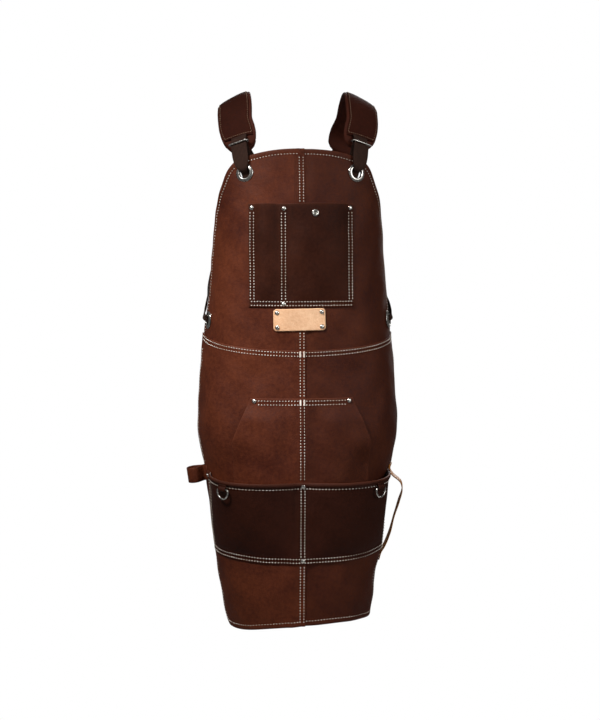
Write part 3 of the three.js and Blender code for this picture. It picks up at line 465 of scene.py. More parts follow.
def swell(at, low, high, seam):
    """Rounding out of a pocket between two seams."""
    return np.sin(math.pi * np.clip((at - low - seam) / (high - low - 2 * seam), 0, 1)) ** 0.8


def chest_lift(s, z):
    low = CHEST["bottom"] + CHEST["seam"]
    rise = np.clip((np.asarray(z) - low) / (CHEST["top"] - low), 0, 1) ** 0.6
    pen = CHEST["pen"] * swell(s, -CHEST["half"], CHEST["divider"], CHEST["seam"])
    phone = CHEST["phone"] * swell(s, CHEST["divider"], CHEST["half"], CHEST["seam"])
    return LAYER + rise * (pen + phone)


def hand_half(z):
    share = np.clip((np.asarray(z) - HAND["top"]) / (HAND["slant_end"] - HAND["top"]), 0, 1)
    return HAND["top_half"] + (HAND["half"] - HAND["top_half"]) * share


def hand_lift(s, z):
    s, z = np.asarray(s, float), np.asarray(z, float)
    aside, stands = np.abs(s), HAND_STANDS
    upright = step(HAND["top"] - z, *stands["ends"]) * step(z - HAND["bottom"], *stands["ends"])
    closing = step(HAND["slant_end"] - z, *stands["slant"]) * step(aside, *stands["sides"])
    return skirt_face(s) + GAP + HAND["depth"] * upright * step(aside, *stands["middle"]) * (1 - closing)


def tool_rise(s):
    return TOOL["rise"] * (np.asarray(s) / TOOL["half"]) ** 2


def tool_lift(s, z):
    s, z = np.asarray(s, float), np.asarray(z, float)
    level = z - tool_rise(s)
    rise = np.clip((level - TOOL["seam_row"]) / (TOOL["mouth"] - TOOL["seam_row"]), 0, 1) ** 0.7
    over = LAYER * step(z, *TOOL_OVER_HAND["down"]) * (1 - step(np.abs(s), *TOOL_OVER_HAND["across"]))
    return skirt_face(s) + GAP + over + TOOL["depth"] * rise * swell(np.abs(s), 0, TOOL["half"], TOOL["seam"])


def spaced(length, grid):
    """Shares of a length at even steps, with close ones at both rims."""
    inner = np.linspace(RIM_BAND, length - RIM_BAND, max(int(length / grid), 2))
    return np.r_[RIM_STEPS, inner, length - RIM_STEPS[::-1]] / length


# Meshes.

def piece(name, points, faces, materials, shades=None, uv=None, rim=None):
    """A smooth mesh object from points in millimetres."""
    mesh = bpy.data.meshes.new(name)
    mesh.from_pydata(((np.asarray(points) + RAISED) * MM).tolist(), [], faces)
    for material in materials:
        mesh.materials.append(material)
    if shades is not None:
        mesh.polygons.foreach_set("material_index", np.asarray(shades, np.int32))
    if uv is not None:
        loops = np.empty(len(mesh.loops), np.int32)
        mesh.loops.foreach_get("vertex_index", loops)
        layer = mesh.uv_layers.new(name="length")
        layer.data.foreach_set("uv", (np.asarray(uv)[loops] * MM).astype(np.float32).ravel())
    if rim is not None:
        mesh.attributes.new("rim", "FLOAT", "POINT").data.foreach_set("value", np.asarray(rim, np.float32))
    mesh.polygons.foreach_set("use_smooth", np.ones(len(mesh.polygons), bool))
    mesh.update()
    made = bpy.data.objects.new(name, mesh)
    bpy.context.scene.collection.objects.link(made)
    return made


def join(parts):
    """Several lists of points and faces as one."""
    points, faces, count = [], [], 0
    for some_points, some_faces in parts:
        points.append(some_points)
        faces += [tuple(i + count for i in face) for face in some_faces]
        count += len(some_points)
    return np.concatenate(points), faces


def hole_rims(front, back, keep):
    """Faces that close a sheet around its punched holes."""
    faces = []
    for ids, cells in (((front, back), keep), ((front.T, back.T), keep.T)):
        turned = cells is not keep
        for kept in (cells[:, :-1] & ~cells[:, 1:], cells[:, 1:] & ~cells[:, :-1]):
            rows, columns = np.nonzero(kept)
            edge = [(rows, columns + 1), (rows + 1, columns + 1)]
            quad = [ids[0][edge[0]], ids[0][edge[1]], ids[1][edge[1]], ids[1][edge[0]]]
            faces.append(np.stack(quad[::-1] if turned else quad, axis=1))
            turned = not turned
    return np.concatenate(faces)


def wall(name, s, z, lift, extra, materials, thick=LEATHER, near=None, holes=()):
    """A closed sheet over a grid: grain side out, flesh side in, rounded rims between."""
    if near is None:
        beside = np.minimum(np.abs(s - s[:, :1]), np.abs(s - s[:, -1:]))
        near = np.minimum(beside, np.minimum(np.abs(z - z[:1]), np.abs(z - z[-1:])))
    radius = thick / 2
    ease = radius - np.sqrt(np.maximum(radius ** 2 - (radius - np.minimum(near, radius)) ** 2, 0))
    normals = outward(s, z)
    base = form(s, z) + normals * (relief(s, z) + lift)[..., None]
    outer = base + normals * (thick - ease + extra)[..., None]
    inner = base + normals * ease[..., None]
    rows, columns = s.shape
    front = np.arange(rows * columns).reshape(rows, columns)
    back = front.copy()
    inside = (slice(1, -1), slice(1, -1))
    back[inside] = rows * columns + np.arange((rows - 2) * (columns - 2)).reshape(rows - 2, columns - 2)
    points = np.concatenate([outer.reshape(-1, 3), inner[inside].reshape(-1, 3)])
    keep = np.ones((rows - 1, columns - 1), bool)
    middle_s = (s[:-1, :-1] + s[1:, 1:]) / 2
    middle_z = (z[:-1, :-1] + z[1:, 1:]) / 2
    for hole_s, hole_z, hole in holes:
        keep &= np.hypot(middle_s - hole_s, middle_z - hole_z) > hole
    corners = [(slice(None, -1), slice(None, -1)), (slice(1, None), slice(None, -1)),
               (slice(1, None), slice(1, None)), (slice(None, -1), slice(1, None))]
    grain = np.stack([front[corner][keep] for corner in corners], axis=1)
    flesh = np.stack([back[corner][keep] for corner in corners[::-1]], axis=1)
    rims = hole_rims(front, back, keep)
    shades = np.r_[np.zeros(len(grain)), np.ones(len(flesh) + len(rims))]
    worn = np.exp(-near / RUBBED_EDGE)
    rim = np.r_[worn.ravel(), worn[inside].ravel()]
    made = piece(name, points, np.concatenate([grain, flesh, rims]).tolist(), materials, shades, rim=rim)
    cells = base[1:, 1:] - base[:-1, :-1], base[1:, :-1] - base[:-1, 1:]
    area = np.linalg.norm(np.cross(*cells), axis=-1).sum() / 2 * MM * MM
    return made, float(area)


def loft(rings):
    """A closed body through rings of points."""
    count, around = rings.shape[:2]
    ids = np.arange(count * around).reshape(count, around)
    following = np.roll(ids, -1, axis=1)
    sides = np.stack([ids[:-1], following[:-1], following[1:], ids[1:]], axis=-1).reshape(-1, 4).tolist()
    return rings.reshape(-1, 3), sides + [ids[0][::-1].tolist(), ids[-1].tolist()]


def curve(points, spread):
    """Even points on a centripetal curve through rows of values; the first three columns are the place."""
    points = np.asarray(points, float)
    padded = np.concatenate([[2 * points[0] - points[1]], points, [2 * points[-1] - points[-2]]])
    gaps = np.maximum(np.linalg.norm(np.diff(padded[:, :3], axis=0), axis=1), 1e-6) ** 0.5
    t = np.linspace(0, 1, 24, endpoint=False)[:, None]
    runs = []
    for i in range(len(points) - 1):
        p0, p1, p2, p3 = padded[i:i + 4]
        d0, d1, d2 = gaps[i:i + 3]
        m1 = d1 * ((p1 - p0) / d0 - (p2 - p0) / (d0 + d1) + (p2 - p1) / d1)
        m2 = d1 * ((p2 - p1) / d1 - (p3 - p1) / (d1 + d2) + (p3 - p2) / d2)
        runs.append(p1 + m1 * t + (3 * (p2 - p1) - 2 * m1 - m2) * t ** 2 + (2 * (p1 - p2) + m1 + m2) * t ** 3)
    dense = np.concatenate(runs + [points[-1:]])
    way = np.r_[0, np.cumsum(np.linalg.norm(np.diff(dense[:, :3], axis=0), axis=1))]
    at = np.linspace(0, way[-1], max(int(way[-1] / spread), 2) + 1)
    return np.stack([np.interp(at, way, column) for column in dense.T], axis=1), at


def strip_profile(width, thick):
    """Section of a flat strap with round edges, as rows of (across, out)."""
    half, r = width / 2, thick / 2
    top = [(a * (half - r), r) for a in (-1, -0.5, 0, 0.5, 1)]
    edge = [(half - 0.3 * r, 0.7 * r), (half, 0), (half - 0.3 * r, -0.7 * r)]
    return np.array(top + edge + [(-a, -o) for a, o in top] + [(-a, -o) for a, o in edge])


def strap(name, stations, materials, thick, spread=2.2, cup=0.0):
    """A strap through stations of place, across and width."""
    rows, way = curve(stations, spread)
    at, across, width = rows[:, :3], rows[:, 3:6], rows[:, 6]
    along = unit(np.gradient(at, axis=0))
    across = unit(across - along * (across * along).sum(axis=1, keepdims=True))
    out = np.cross(across, along)
    sections_of = np.stack([strip_profile(w, thick) for w in width])
    narrow = cup * (width.max() - width)
    share = 1 - (2 * sections_of[..., 0] / width[:, None]) ** 2
    rise = sections_of[..., 1] + narrow[:, None] * share
    rings = at[:, None] + across[:, None] * sections_of[..., :1] + out[:, None] * rise[..., None]
    points, faces = loft(rings[:, ::-1])
    flat = strip_profile(WEBBING_WIDTH, thick)[::-1]
    uv = np.stack([np.tile(flat[:, 0], len(way)), np.repeat(way, len(flat))], axis=1)
    return piece(name, points, faces, materials, uv=uv), way[-1]


def lathe(profile, place, steps=28):
    """A turned body about a seat's out axis, from a closed profile of (radius, height)."""
    angles = np.arange(steps) * 2 * math.pi / steps
    profile = np.asarray(profile, float)
    radius, height = profile[:, 0], profile[:, 1]
    points = from_seat(place, radius[:, None] * np.cos(angles), radius[:, None] * np.sin(angles),
                       height[:, None] + 0 * angles)
    ids = np.arange(points.shape[0] * steps).reshape(-1, steps)
    below = np.roll(ids, -1, axis=0)
    faces = np.stack([ids, np.roll(ids, -1, axis=1), np.roll(below, -1, axis=1), below], axis=-1)
    return points.reshape(-1, 3), faces.reshape(-1, 4).tolist()


def tube(path, radius, sides=12):
    """A round wire along a closed path."""
    path = np.asarray(path, float)
    along = unit(np.roll(path, -1, axis=0) - np.roll(path, 1, axis=0))
    normal = unit(np.cross(*np.linalg.svd(path - path.mean(axis=0))[2][:2]))
    aside = np.cross(along, normal)
    angles = np.arange(sides) * 2 * math.pi / sides
    around = aside[:, None] * np.cos(angles)[:, None] + normal * np.sin(angles)[:, None]
    points, faces = loft(path[:, None] + radius * around)
    last = (len(path) - 1) * sides
    closing = [(last + i, last + (i + 1) % sides, (i + 1) % sides, i) for i in range(sides)]
    return points, faces[:-2] + closing


# Materials.

RUBBED = "#6b3a27"
STEEL = "#cfcbc4"
# Dark and light colour of each material: oiled or darker places, then rubbed or clean ones. The right panels'
# pair and the tool pocket's pair are darker than the panels' to give painted shade.
COLOURS = {
    "panel": ("Panels", "#3b150a", "#602d17"),
    "second": ("Right panels", "#331108", "#4f2411"),
    "pocket": ("Chest pocket", "#281008", "#3d1c0f"),
    "tool": ("Tool pocket", "#250d06", "#35160b"),
    "flesh": ("Flesh side", "#4c2c1c", "#65402b"),
    "pad": ("Pad covers", "#2e130b", "#3f1d14"),
    "piping": ("Pad piping", "#3a170e", "#4e2213"),
    "label": ("Label patch", "#d69f76", "#efc6a0"),
    "strap": ("Tan strap", "#9a5f24", "#bb8040"),
    "webbing": ("Webbing", "#21130d", "#50352a"),
    "thread": ("Thread", "#c4b3a1", "#f3eadf"),
    "pad_thread": ("Pad thread", "#84644e", "#b39478"),
}
# Each hide's colours, rubbed edge, grain in millimetres, roughness, fuzz and shine.
HIDES = {
    "oiled_cowhide": ("panel", RUBBED, 1.3, 0.62, 0.0, 0.14),
    # Darker copy of the panel hide for the apron's right side: painted shade where the key light from the
    # left falls off.
    "right_side_painted_shade_hide": ("second", RUBBED, 1.3, 0.62, 0.0, 0.14),
    "oiled_pocket_hide": ("pocket", RUBBED, 1.1, 0.6, 0.0, 0.08),
    # Darker hide for the tool pocket and its tabs: painted shade of the tools and of the pocket's low,
    # downward-facing part.
    "tool_pocket_painted_shade_hide": ("tool", RUBBED, 1.3, 0.62, 0.0, 0.1),
    "suede_flesh_side": ("flesh", RUBBED, 0.8, 0.9, 0.3, 0.14),
    "glazed_pad_leather": ("pad", RUBBED, 1.0, 0.78, 0.0, 0.06),
    "pad_piping_leather": ("piping", RUBBED, 1.0, 0.7, 0.0, 0.14),
    "natural_veg_tan": ("label", "#c98f62", 0.9, 0.55, 0.0, 0.14),
    "tan_strap_leather": ("strap", "#8a5524", 1.0, 0.5, 0.0, 0.14),
}
THREADS = {"waxed_thread": "thread", "tan_thread": "pad_thread"}
# Sizes of the materials' patterns, in millimetres.
CLOUD, MOTTLE, CREASE, SCUFF, DIRT, RIB, WEFT = 85, 6, 5.5, 3, 40, 2.4, 1.6
WAVE_SCALE = 314.0  # of a wave texture whose bands are a millimetre apart
WORN_SHARE = 0.25  # of the rubbed colour, right at a rim


def add(tree, kind, values=None, links=None, **settings):
    """A shader node with its settings, input values and links."""
    made = tree.nodes.new("ShaderNode" + kind)
    for name, value in settings.items():
        setattr(made, name, value)
    for name, value in (values or {}).items():
        made.inputs[name].default_value = value
    for name, source in (links or {}).items():
        tree.links.new(source, made.inputs[name])
    return made


def blank(name):
    """An empty material and its nodes."""
    made = bpy.data.materials.new(name)
    made.use_nodes = True
    made.node_tree.nodes.clear()
    return made, made.node_tree


def surfaced(made, values, links=None):
    """The material, closed by its surface shader."""
    shader = add(made.node_tree, "BsdfPrincipled", values, links)
    add(made.node_tree, "OutputMaterial", None, {"Surface": shader.outputs[0]})
    return made


def noise(tree, spot, detail, roughness=0.5):
    """Cloudy spots of about a size in millimetres."""
    place = add(tree, "TexCoord").outputs["Object"]
    values = {"Scale": 1000 / spot, "Detail": detail, "Roughness": roughness}
    return add(tree, "TexNoise", values, {"Vector": place}).outputs["Fac"]


def ranged(tree, source, low, high, first=0.0, last=1.0):
    """A value carried from one range to another."""
    values = {"From Min": low, "From Max": high, "To Min": first, "To Max": last}
    return add(tree, "MapRange", values, {"Value": source}).outputs[0]


def blend(tree, share, dark, light):
    """A colour between a dark and a light one."""
    return add(tree, "Mix", {6: dark, 7: light}, {0: share}, data_type="RGBA").outputs[2]


def bumped(tree, strength, depth, height, under=None):
    """Small relief of a depth in millimetres, over another relief if there is one."""
    links = {"Height": height, "Normal": under} if under else {"Height": height}
    values = {"Strength": strength, "Distance": depth * MM}
    return add(tree, "Bump", values, links).outputs["Normal"]


def leather_material(name, dark, light, rubbed, grain, roughness, fuzz, shine):
    """Tanned hide: cloudy colour from wear and oil, a pebbled grain and paler rubbed edges."""
    made, tree = blank(name)
    mottle = noise(tree, MOTTLE, 6, 0.7)
    spots = add(tree, "Math", {1: 0.9}, {0: mottle}, operation="MULTIPLY").outputs[0]
    tone = add(tree, "Math", None, {0: noise(tree, CLOUD, 5, 0.6), 1: spots}, operation="ADD")
    hue = blend(tree, ranged(tree, tone.outputs[0], 0.65, 1.27), dark, light)
    worn = add(tree, "Attribute", attribute_name="rim").outputs["Fac"]
    share = add(tree, "Math", {1: WORN_SHARE}, {0: worn}, operation="MULTIPLY").outputs[0]
    colour = add(tree, "Mix", {7: rubbed}, {0: share, 6: hue}, data_type="RGBA").outputs[2]
    place = add(tree, "TexCoord").outputs["Object"]
    pores = add(tree, "TexVoronoi", {"Scale": 1000 / grain}, {"Vector": place})
    pebbled = bumped(tree, 0.55, 0.3, pores.outputs["Distance"])
    creased = bumped(tree, 0.6, 1.2, noise(tree, CREASE, 6, 0.7), pebbled)
    rough = ranged(tree, mottle, 0.3, 0.7, roughness - 0.09, roughness + 0.12)
    values = {"IOR": 1.5, "Specular IOR Level": shine, "Sheen Weight": fuzz, "Sheen Roughness": 0.5}
    return surfaced(made, values, {"Base Color": colour, "Roughness": rough, "Normal": creased})


def webbing_material(name, dark, light):
    """Woven cotton webbing: ribs along its length crossed by the weft, dull and soft."""
    made, tree = blank(name)
    place = {"Vector": add(tree, "UVMap", uv_map="length").outputs[0]}
    bands = {}
    for i, (way, spacing, bent) in enumerate((("X", RIB, 0.4), ("Y", WEFT, 0.6))):
        values = {"Scale": WAVE_SCALE / spacing, "Distortion": bent}
        bands[i] = add(tree, "TexWave", values, place, bands_direction=way).outputs["Fac"]
    weave = add(tree, "Math", None, bands, operation="MULTIPLY").outputs[0]
    links = {"Base Color": blend(tree, weave, dark, light), "Normal": bumped(tree, 0.6, 0.4, weave)}
    return surfaced(made, {"Roughness": 0.9, "IOR": 1.45, "Specular IOR Level": 0.2}, links)


def steel_material(name, colour):
    """Nickel-plated steel: bright and slightly worn, so its highlights break up."""
    made, tree = blank(name)
    rough = ranged(tree, noise(tree, SCUFF, 5), 0.0, 1.0, 0.16, 0.36)
    return surfaced(made, {"Base Color": colour, "Metallic": 1.0}, {"Roughness": rough})


def thread_material(name, dark, light):
    """Waxed polyester thread: pale, with darker spots where it has picked up dirt."""
    made, tree = blank(name)
    hue = blend(tree, ranged(tree, noise(tree, DIRT, 4), 0.35, 0.6), dark, light)
    return surfaced(made, {"Roughness": 0.6, "IOR": 1.5}, {"Base Color": hue})


def tones(key):
    """Dark and light colour of a material, as the sidebar has them."""
    return [getattr(bpy.context.scene.apron_colours, f"{key}_{tone}") for tone in ("dark", "light")]


def material(name):
    """A material of the apron, made once."""
    found = bpy.data.materials.get(name)
    if found:
        return found
    if name in HIDES:
        key, rubbed, *make_up = HIDES[name]
        return leather_material(name, *tones(key), linear(rubbed), *make_up)
    if name in THREADS:
        return thread_material(name, *tones(THREADS[name]))
    if name == "woven_webbing":
        return webbing_material(name, *tones("webbing"))
    return steel_material(name, linear(STEEL))


def hide(name="oiled_cowhide"):
    """A hide's grain side and flesh side."""
    return [material(name), material("suede_flesh_side")]


# Sizes and colours that can be changed in the sidebar.

def length_property(name, description, default, least=0.0):
    """A length that the sidebar can change, given in millimetres."""
    return bpy.props.FloatProperty(
        name=name, description=description, default=default * MM, min=least * MM, unit="LENGTH")


def colour_property(name, code):
    """A colour that the sidebar can change."""
    return bpy.props.FloatVectorProperty(
        name=name, subtype="COLOR", size=4, min=0, max=1, default=linear(code))


class ApronSizes(bpy.types.PropertyGroup):
    """Sizes of the leather's make-up."""

    grid: length_property("Leather mesh", "Spacing of the leather's mesh", 3, 2)
    hem_width: length_property("Hem width", "Width of the turned edges", 8.5)
    hem_rise: length_property("Hem rise", "How far turned edges swell", 1.1)
    welt_width: length_property("Welt width", "Width of the tool pocket's rolled mouth", 9)
    welt_rise: length_property("Welt rise", "How far the rolled mouth swells", 2.6)
    # Stitches are a little longer and thicker than real ones, so that they can be told apart.
    stitch: length_property("Stitch length", "Seen length of one stitch", 2.3, 1)
    pitch: length_property("Stitch pitch", "Spacing of stitches", 5, 2)
    thread: length_property("Thread", "Thickness of the thread", 1.5, 0.3)


class ApronColours(bpy.types.PropertyGroup):
    """Colours of the leathers, webbing and thread."""

    __annotations__ = {
        f"{key}_{tone}": colour_property(f"{label}, {tone}", code)
        for key, (label, *codes) in COLOURS.items()
        for tone, code in zip(("dark", "light"), codes)
    }


def size(name):
    """A size of the sidebar in millimetres."""
    return getattr(bpy.context.scene.apron_sizes, name) / MM


# Pieces.

# Width and length that each sheet is cut to.
FLAT = {
    "bib": (240, 364), "skirt": (248, 513), "chest": (196, 178), "hand": (246, 188), "tool": (440, 158),
    "label": (LABEL["width"] + 1, LABEL["height"] + 1),
}
BOTH_BIBS = ["leather_bib_left", "leather_bib_right"]
BOTH_SKIRTS = ["leather_skirt_left", "leather_skirt_right"]


class Piece(bpy.types.Operator):
    """Common part of the operators that build pieces."""

    bl_options = {"REGISTER", "UNDO"}


def place_piece(made, node, body=ROOT):
    """Puts a piece on its body in place of its plain solid."""
    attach(made, body)
    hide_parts(node)


def leather(name, node, slot, flat, hung_from, *sheet, **how):
    """A leather sheet hung on the form; the size it was cut to is not used."""
    made, area = wall(f"leather_{name}", *sheet, **how)
    place_piece(made, node)
    return made


def band(name, node, slot, held, rests_on, width, *make_up):
    """A strap as long as its own line; the width given in millimetres is not used."""
    made, length = strap(name, *make_up)
    place_piece(made, node)


def steel(node, body, points, faces):
    """A plated steel piece."""
    made = piece(f"steel_{node}", points, faces, [material("nickel_plated_steel")])
    place_piece(made, node, body)


def on_grain(lift):
    """Lift of the grain side of a sheet."""
    return lambda s, z: lift(s, z) + LEATHER


def at_height(out):
    """A level lift."""
    return lambda s, z: out + 0 * s


def hem_swell(s, z, outline):
    """Swell of a panel's turned edges."""
    return turned_hem(edge_distance(s, z, outline), size("hem_width"), size("hem_rise"))


def across_panel(side, edge, shares):
    """Places across one panel between its outer edge and the lap."""
    first, last = (-edge, LAP["edge"]) if side < 0 else (LAP["under"], edge)
    return first + (last - first) * shares


def bib_grid(side):
    """Rows of s and z over one bib panel."""
    grid = size("grid")
    down = spaced(BIB_MESH["down"], grid)[:, None]
    low = waist_line(WAIST_REACH) - UNDER_SKIRT
    edge = side_edge(bib_top(BIB_CORNER) + (low - bib_top(BIB_CORNER)) * down)
    for _ in range(3):
        edge = side_edge(bib_top(edge) + (waist_line(edge) - UNDER_SKIRT - bib_top(edge)) * down)
    s = across_panel(side, edge, spaced(BIB_MESH["across"], grid))
    return s, bib_top(s) + (waist_line(s) - UNDER_SKIRT - bib_top(s)) * down


def skirt_grid(side):
    """Rows of s and z over one skirt panel, down to the rounded hem corner."""
    grid, turn, yoke = size("grid"), SKIRT_MESH["turn"], SKIRT_MESH["yoke"]
    upper = np.r_[RIM_STEPS, np.arange(4, yoke, grid)] / yoke
    middle = np.arange(HAND["top"], turn, -grid)
    lower = np.linspace(0, 1, 8)[:-1]
    above = HEM_CORNER * (1 - np.sin(np.linspace(0, math.pi / 2, 16)))
    edges = np.r_[side_edge(waist_line(WAIST_REACH) * (1 - upper) + HAND["top"] * upper), side_edge(middle),
                  side_edge(turn + (HEM_LEVEL + HEM_CORNER - turn) * lower), corner_edge(above)]
    s = across_panel(side, edges[:, None], spaced(SKIRT_MESH["across"], grid))
    first, second = len(upper), len(upper) + len(middle)
    third = second + len(lower)
    hem = hem_line(s)
    z = np.empty_like(s)
    z[:first] = waist_line(s[:first]) * (1 - upper[:, None]) + HAND["top"] * upper[:, None]
    z[first:second] = middle[:, None]
    z[second:third] = turn + (hem[second:third] + HEM_CORNER - turn) * lower[:, None]
    z[third:] = hem[third:] + above[:, None]
    return s, z


class APRON_OT_panels(Piece):
    """Builds the bib and skirt panels with turned edges"""

    bl_idname = "apron.panels"
    bl_label = "Leather panels"

    def execute(self, context):
        for name, side in SIDES.items():
            # The right panels take the darker hide: painted shade of the apron's right side.
            hides = hide("oiled_cowhide" if side < 0 else "right_side_painted_shade_hide")
            s, z = bib_grid(side)
            holes = [(side * at[0], at[1], GROMMET_HOLE) for at in (BIB_GROMMET, WAIST_GROMMET)]
            lift = bib_lift(s, z) if side > 0 else np.zeros_like(s)
            leather(f"bib_{name}", f"bib_{name}", "panel_leather", FLAT["bib"], [f"bib_grommet_{name}"],
                    s, z, lift, hem_swell(s, z, bib_outline(side)), hides, holes=holes)
            s, z = skirt_grid(side)
            lift = np.full_like(s, LAYER) + (LAYER * onto_lap(s) if side < 0 else 0)
            leather(f"skirt_{name}", f"skirt_{name}", "panel_leather", FLAT["skirt"], [f"leather_bib_{name}"],
                    s, z, lift, hem_swell(s, z, skirt_outline(side)), hides)
        return {"FINISHED"}


class APRON_OT_chest_pocket(Piece):
    """Builds the chest pocket with its pen and phone parts"""

    bl_idname = "apron.chest_pocket"
    bl_label = "Chest pocket"

    def execute(self, context):
        half, top = CHEST["half"], CHEST["top"]
        width, height, grid = 2 * half, top - CHEST["bottom"], size("grid")
        s, z = np.meshgrid(-half + width * spaced(width, grid), top - height * spaced(height, grid))
        leather("chest_pocket", "chest_pocket", "pocket_leather", FLAT["chest"], BOTH_BIBS,
                s, z, chest_lift(s, z), 0 * s, hide("oiled_pocket_hide"))
        return {"FINISHED"}


class APRON_OT_hand_pocket(Piece):
    """Builds the hand pocket with slanted openings"""

    bl_idname = "apron.hand_pocket"
    bl_label = "Hand pocket"

    def execute(self, context):
        height = HAND["top"] - HAND["bottom"]
        z = (HAND["top"] - height * spaced(height, size("grid")))[:, None]
        s = hand_half(z) * (2 * spaced(2 * HAND["half"], size("grid")) - 1)
        z = z + 0 * s
        edge = np.minimum(hand_half(z) - np.abs(s), np.minimum(HAND["top"] - z, z - HAND["bottom"]))
        hides = hide() + [material("right_side_painted_shade_hide")]
        made = leather("hand_pocket", "kangaroo_pocket", "panel_leather", FLAT["hand"], BOTH_SKIRTS,
                       s, z, hand_lift(s, z), turned_hem(edge, HAND["hem"], HAND["hem_rise"]), hides)
        # Grain faces on the right half take the darker hide: painted shade of the apron's right side.
        for face in made.data.polygons:
            if face.material_index == 0 and face.center.x > 0:
                face.material_index = 2
        return {"FINISHED"}


def welt(s, z):
    """Swell of the tool pocket's rolled mouth."""
    return turned_hem(TOOL["mouth"] + tool_rise(s) - z, size("welt_width"), size("welt_rise"))


class APRON_OT_tool_pocket(Piece):
    """Builds the wide tool pocket with its rolled mouth"""

    bl_idname = "apron.tool_pocket"
    bl_label = "Tool pocket"

    def execute(self, context):
        grid, half, height = size("grid"), TOOL["half"], TOOL["mouth"] - TOOL["bottom"]
        down = np.unique(np.r_[spaced(height, grid) * height, np.arange(1, 11, 0.9)])
        s, z = np.meshgrid(half * (2 * spaced(2 * half, grid) - 1), TOOL["mouth"] - down)
        z = z + tool_rise(s)
        # The pocket's darker hide is painted shade of the tools and of its lower part.
        leather("tool_pocket", "tool_pocket", "panel_leather", FLAT["tool"], BOTH_SKIRTS,
                s, z, tool_lift(s, z), welt(s, z), hide("tool_pocket_painted_shade_hide"))
        return {"FINISHED"}


def label_place(a, b):
    """Places on the form of points on the tilted label."""
    turn = math.radians(LABEL["tilt"])
    return (LABEL["s"] + a * math.cos(turn) - b * math.sin(turn),
            LABEL["z"] + a * math.sin(turn) + b * math.cos(turn))


class APRON_OT_label(Piece):
    """Builds the bare tan patch"""

    bl_idname = "apron.label"
    bl_label = "Label patch"

    def execute(self, context):
        half, rise, corner = LABEL["width"] / 2, LABEL["height"] / 2, LABEL["corner"]
        ends = corner * (1 - np.cos(np.linspace(0, math.pi / 2, 9)))
        a = np.r_[-half + ends, np.linspace(-half + corner, half - corner, 40)[1:-1], half - ends[::-1]]
        into = np.maximum(np.abs(a) - (half - corner), 0)
        tall = rise - corner + np.sqrt(corner ** 2 - np.minimum(into, corner) ** 2)
        b = (1 - 2 * spaced(LABEL["height"], LABEL["mesh"]))[:, None] * tall
        a = a + 0 * b
        near = np.minimum(tall - np.abs(b), half - np.abs(a))
        s, z = label_place(a, b)
        leather("label_patch", "label_patch", "label_leather", FLAT["label"], BOTH_BIBS,
                s, z, np.full_like(s, LAYER), 0 * s, [material("natural_veg_tan")] * 2, LABEL["thick"], near)
        return {"FINISHED"}


class APRON_OT_rivets(Piece):
    """Builds the rivets and the ring snap"""

    bl_idname = "apron.rivets"
    bl_label = "Rivets and snap"

    def execute(self, context):
        caps = {f"chest_rivet_{i + 1}": (*at, on_grain(chest_lift)) for i, at in enumerate(CHEST_RIVETS)}
        a, b = LABEL["width"] / 2 - LABEL["inset"], LABEL["height"] / 2 - LABEL["inset"]
        for i, (aside, up) in enumerate(((-1, 1), (1, 1), (-1, -1), (1, -1))):
            at = label_place(aside * a, up * b)
            caps[f"label_rivet_{i + 1}"] = (*at, at_height(LAYER + LABEL["thick"]))
        for name, at in zip(SIDES, HAND_RIVETS):
            caps[f"kangaroo_rivet_{name}"] = (
                *at, lambda s, z: hand_lift(s, z) + LEATHER + HAND["rivet_clear"])
        for name, (s, z) in TOOL_RIVETS.items():
            caps[f"tool_rivet_{name}"] = (
                s, z + tool_rise(s), lambda s, z: tool_lift(s, z) + LEATHER + welt(s, z) * TOOL["rivet_sink"])
        for node, (s, z, lift) in caps.items():
            steel(node, ROOT, *lathe(RIVET_CAP, seat(s, z, lift)))
        place = seat(*SNAP, on_grain(chest_lift))
        steel("pocket_snap", ROOT, *join([lathe(SNAP_RING, place), lathe(SNAP_STUD, place)]))
        return {"FINISHED"}


class APRON_OT_grommets(Piece):
    """Builds the four rolled grommets"""

    bl_idname = "apron.grommets"
    bl_label = "Grommets"

    def execute(self, context):
        for name, side in SIDES.items():
            for kind, (s, z) in (("bib", BIB_GROMMET), ("waist", WAIST_GROMMET)):
                steel(f"{kind}_grommet_{name}", ROOT, *lathe(GROMMET, seat(side * s, z, at_height(0)), 48))
        return {"FINISHED"}


def tab_place(side):
    """Where a D-ring hangs: bar direction levelled, and the way out from the pocket."""
    at, across, up, _ = seat(side * D_RING["s"], D_RING["z"], on_grain(tool_lift))
    bar = unit(across * np.array([1, 1, 0]))
    up = unit(up - bar * (up @ bar))
    return at, bar, up, np.cross(bar, up)


def ring_path():
    """Line of a D-ring's wire as rows of (along the bar, up)."""
    half, bend, low = D_RING["half"], D_RING["bend"], -D_RING["leg"]
    turns = np.linspace(0, math.pi / 2, 5)
    path = [(x, 0) for x in np.linspace(-half + bend, half - bend, 9)]
    path += [(half - bend + bend * math.sin(t), -bend + bend * math.cos(t)) for t in turns[1:]]
    path += [(half * math.cos(t), low - half * math.sin(t)) for t in np.linspace(0, math.pi, 25)]
    return path + [(-half + bend - bend * math.cos(t), -bend + bend * math.sin(t)) for t in turns[:-1]]


def tab_path(centre):
    """Line of a tab folded round a D-ring's bar as rows of (out, up)."""
    loop = D_RING["wire"] + D_RING["running"] + LEATHER / 2
    inner, outer = GAP + LEATHER / 2, GAP + 1.5 * LEATHER + 0.1
    top, neck, waist = TAB["height"], TAB["height"] * 0.6, 2
    path = [(inner, top), (inner, neck), (inner + 0.1, waist)]
    turn = np.linspace(math.pi, 2.0 * math.pi, 13)
    path += [(centre + loop * math.cos(t), loop * math.sin(t)) for t in turn]
    return path + [(centre + loop - 0.3, waist), (outer + 0.7, neck), (outer, top)]


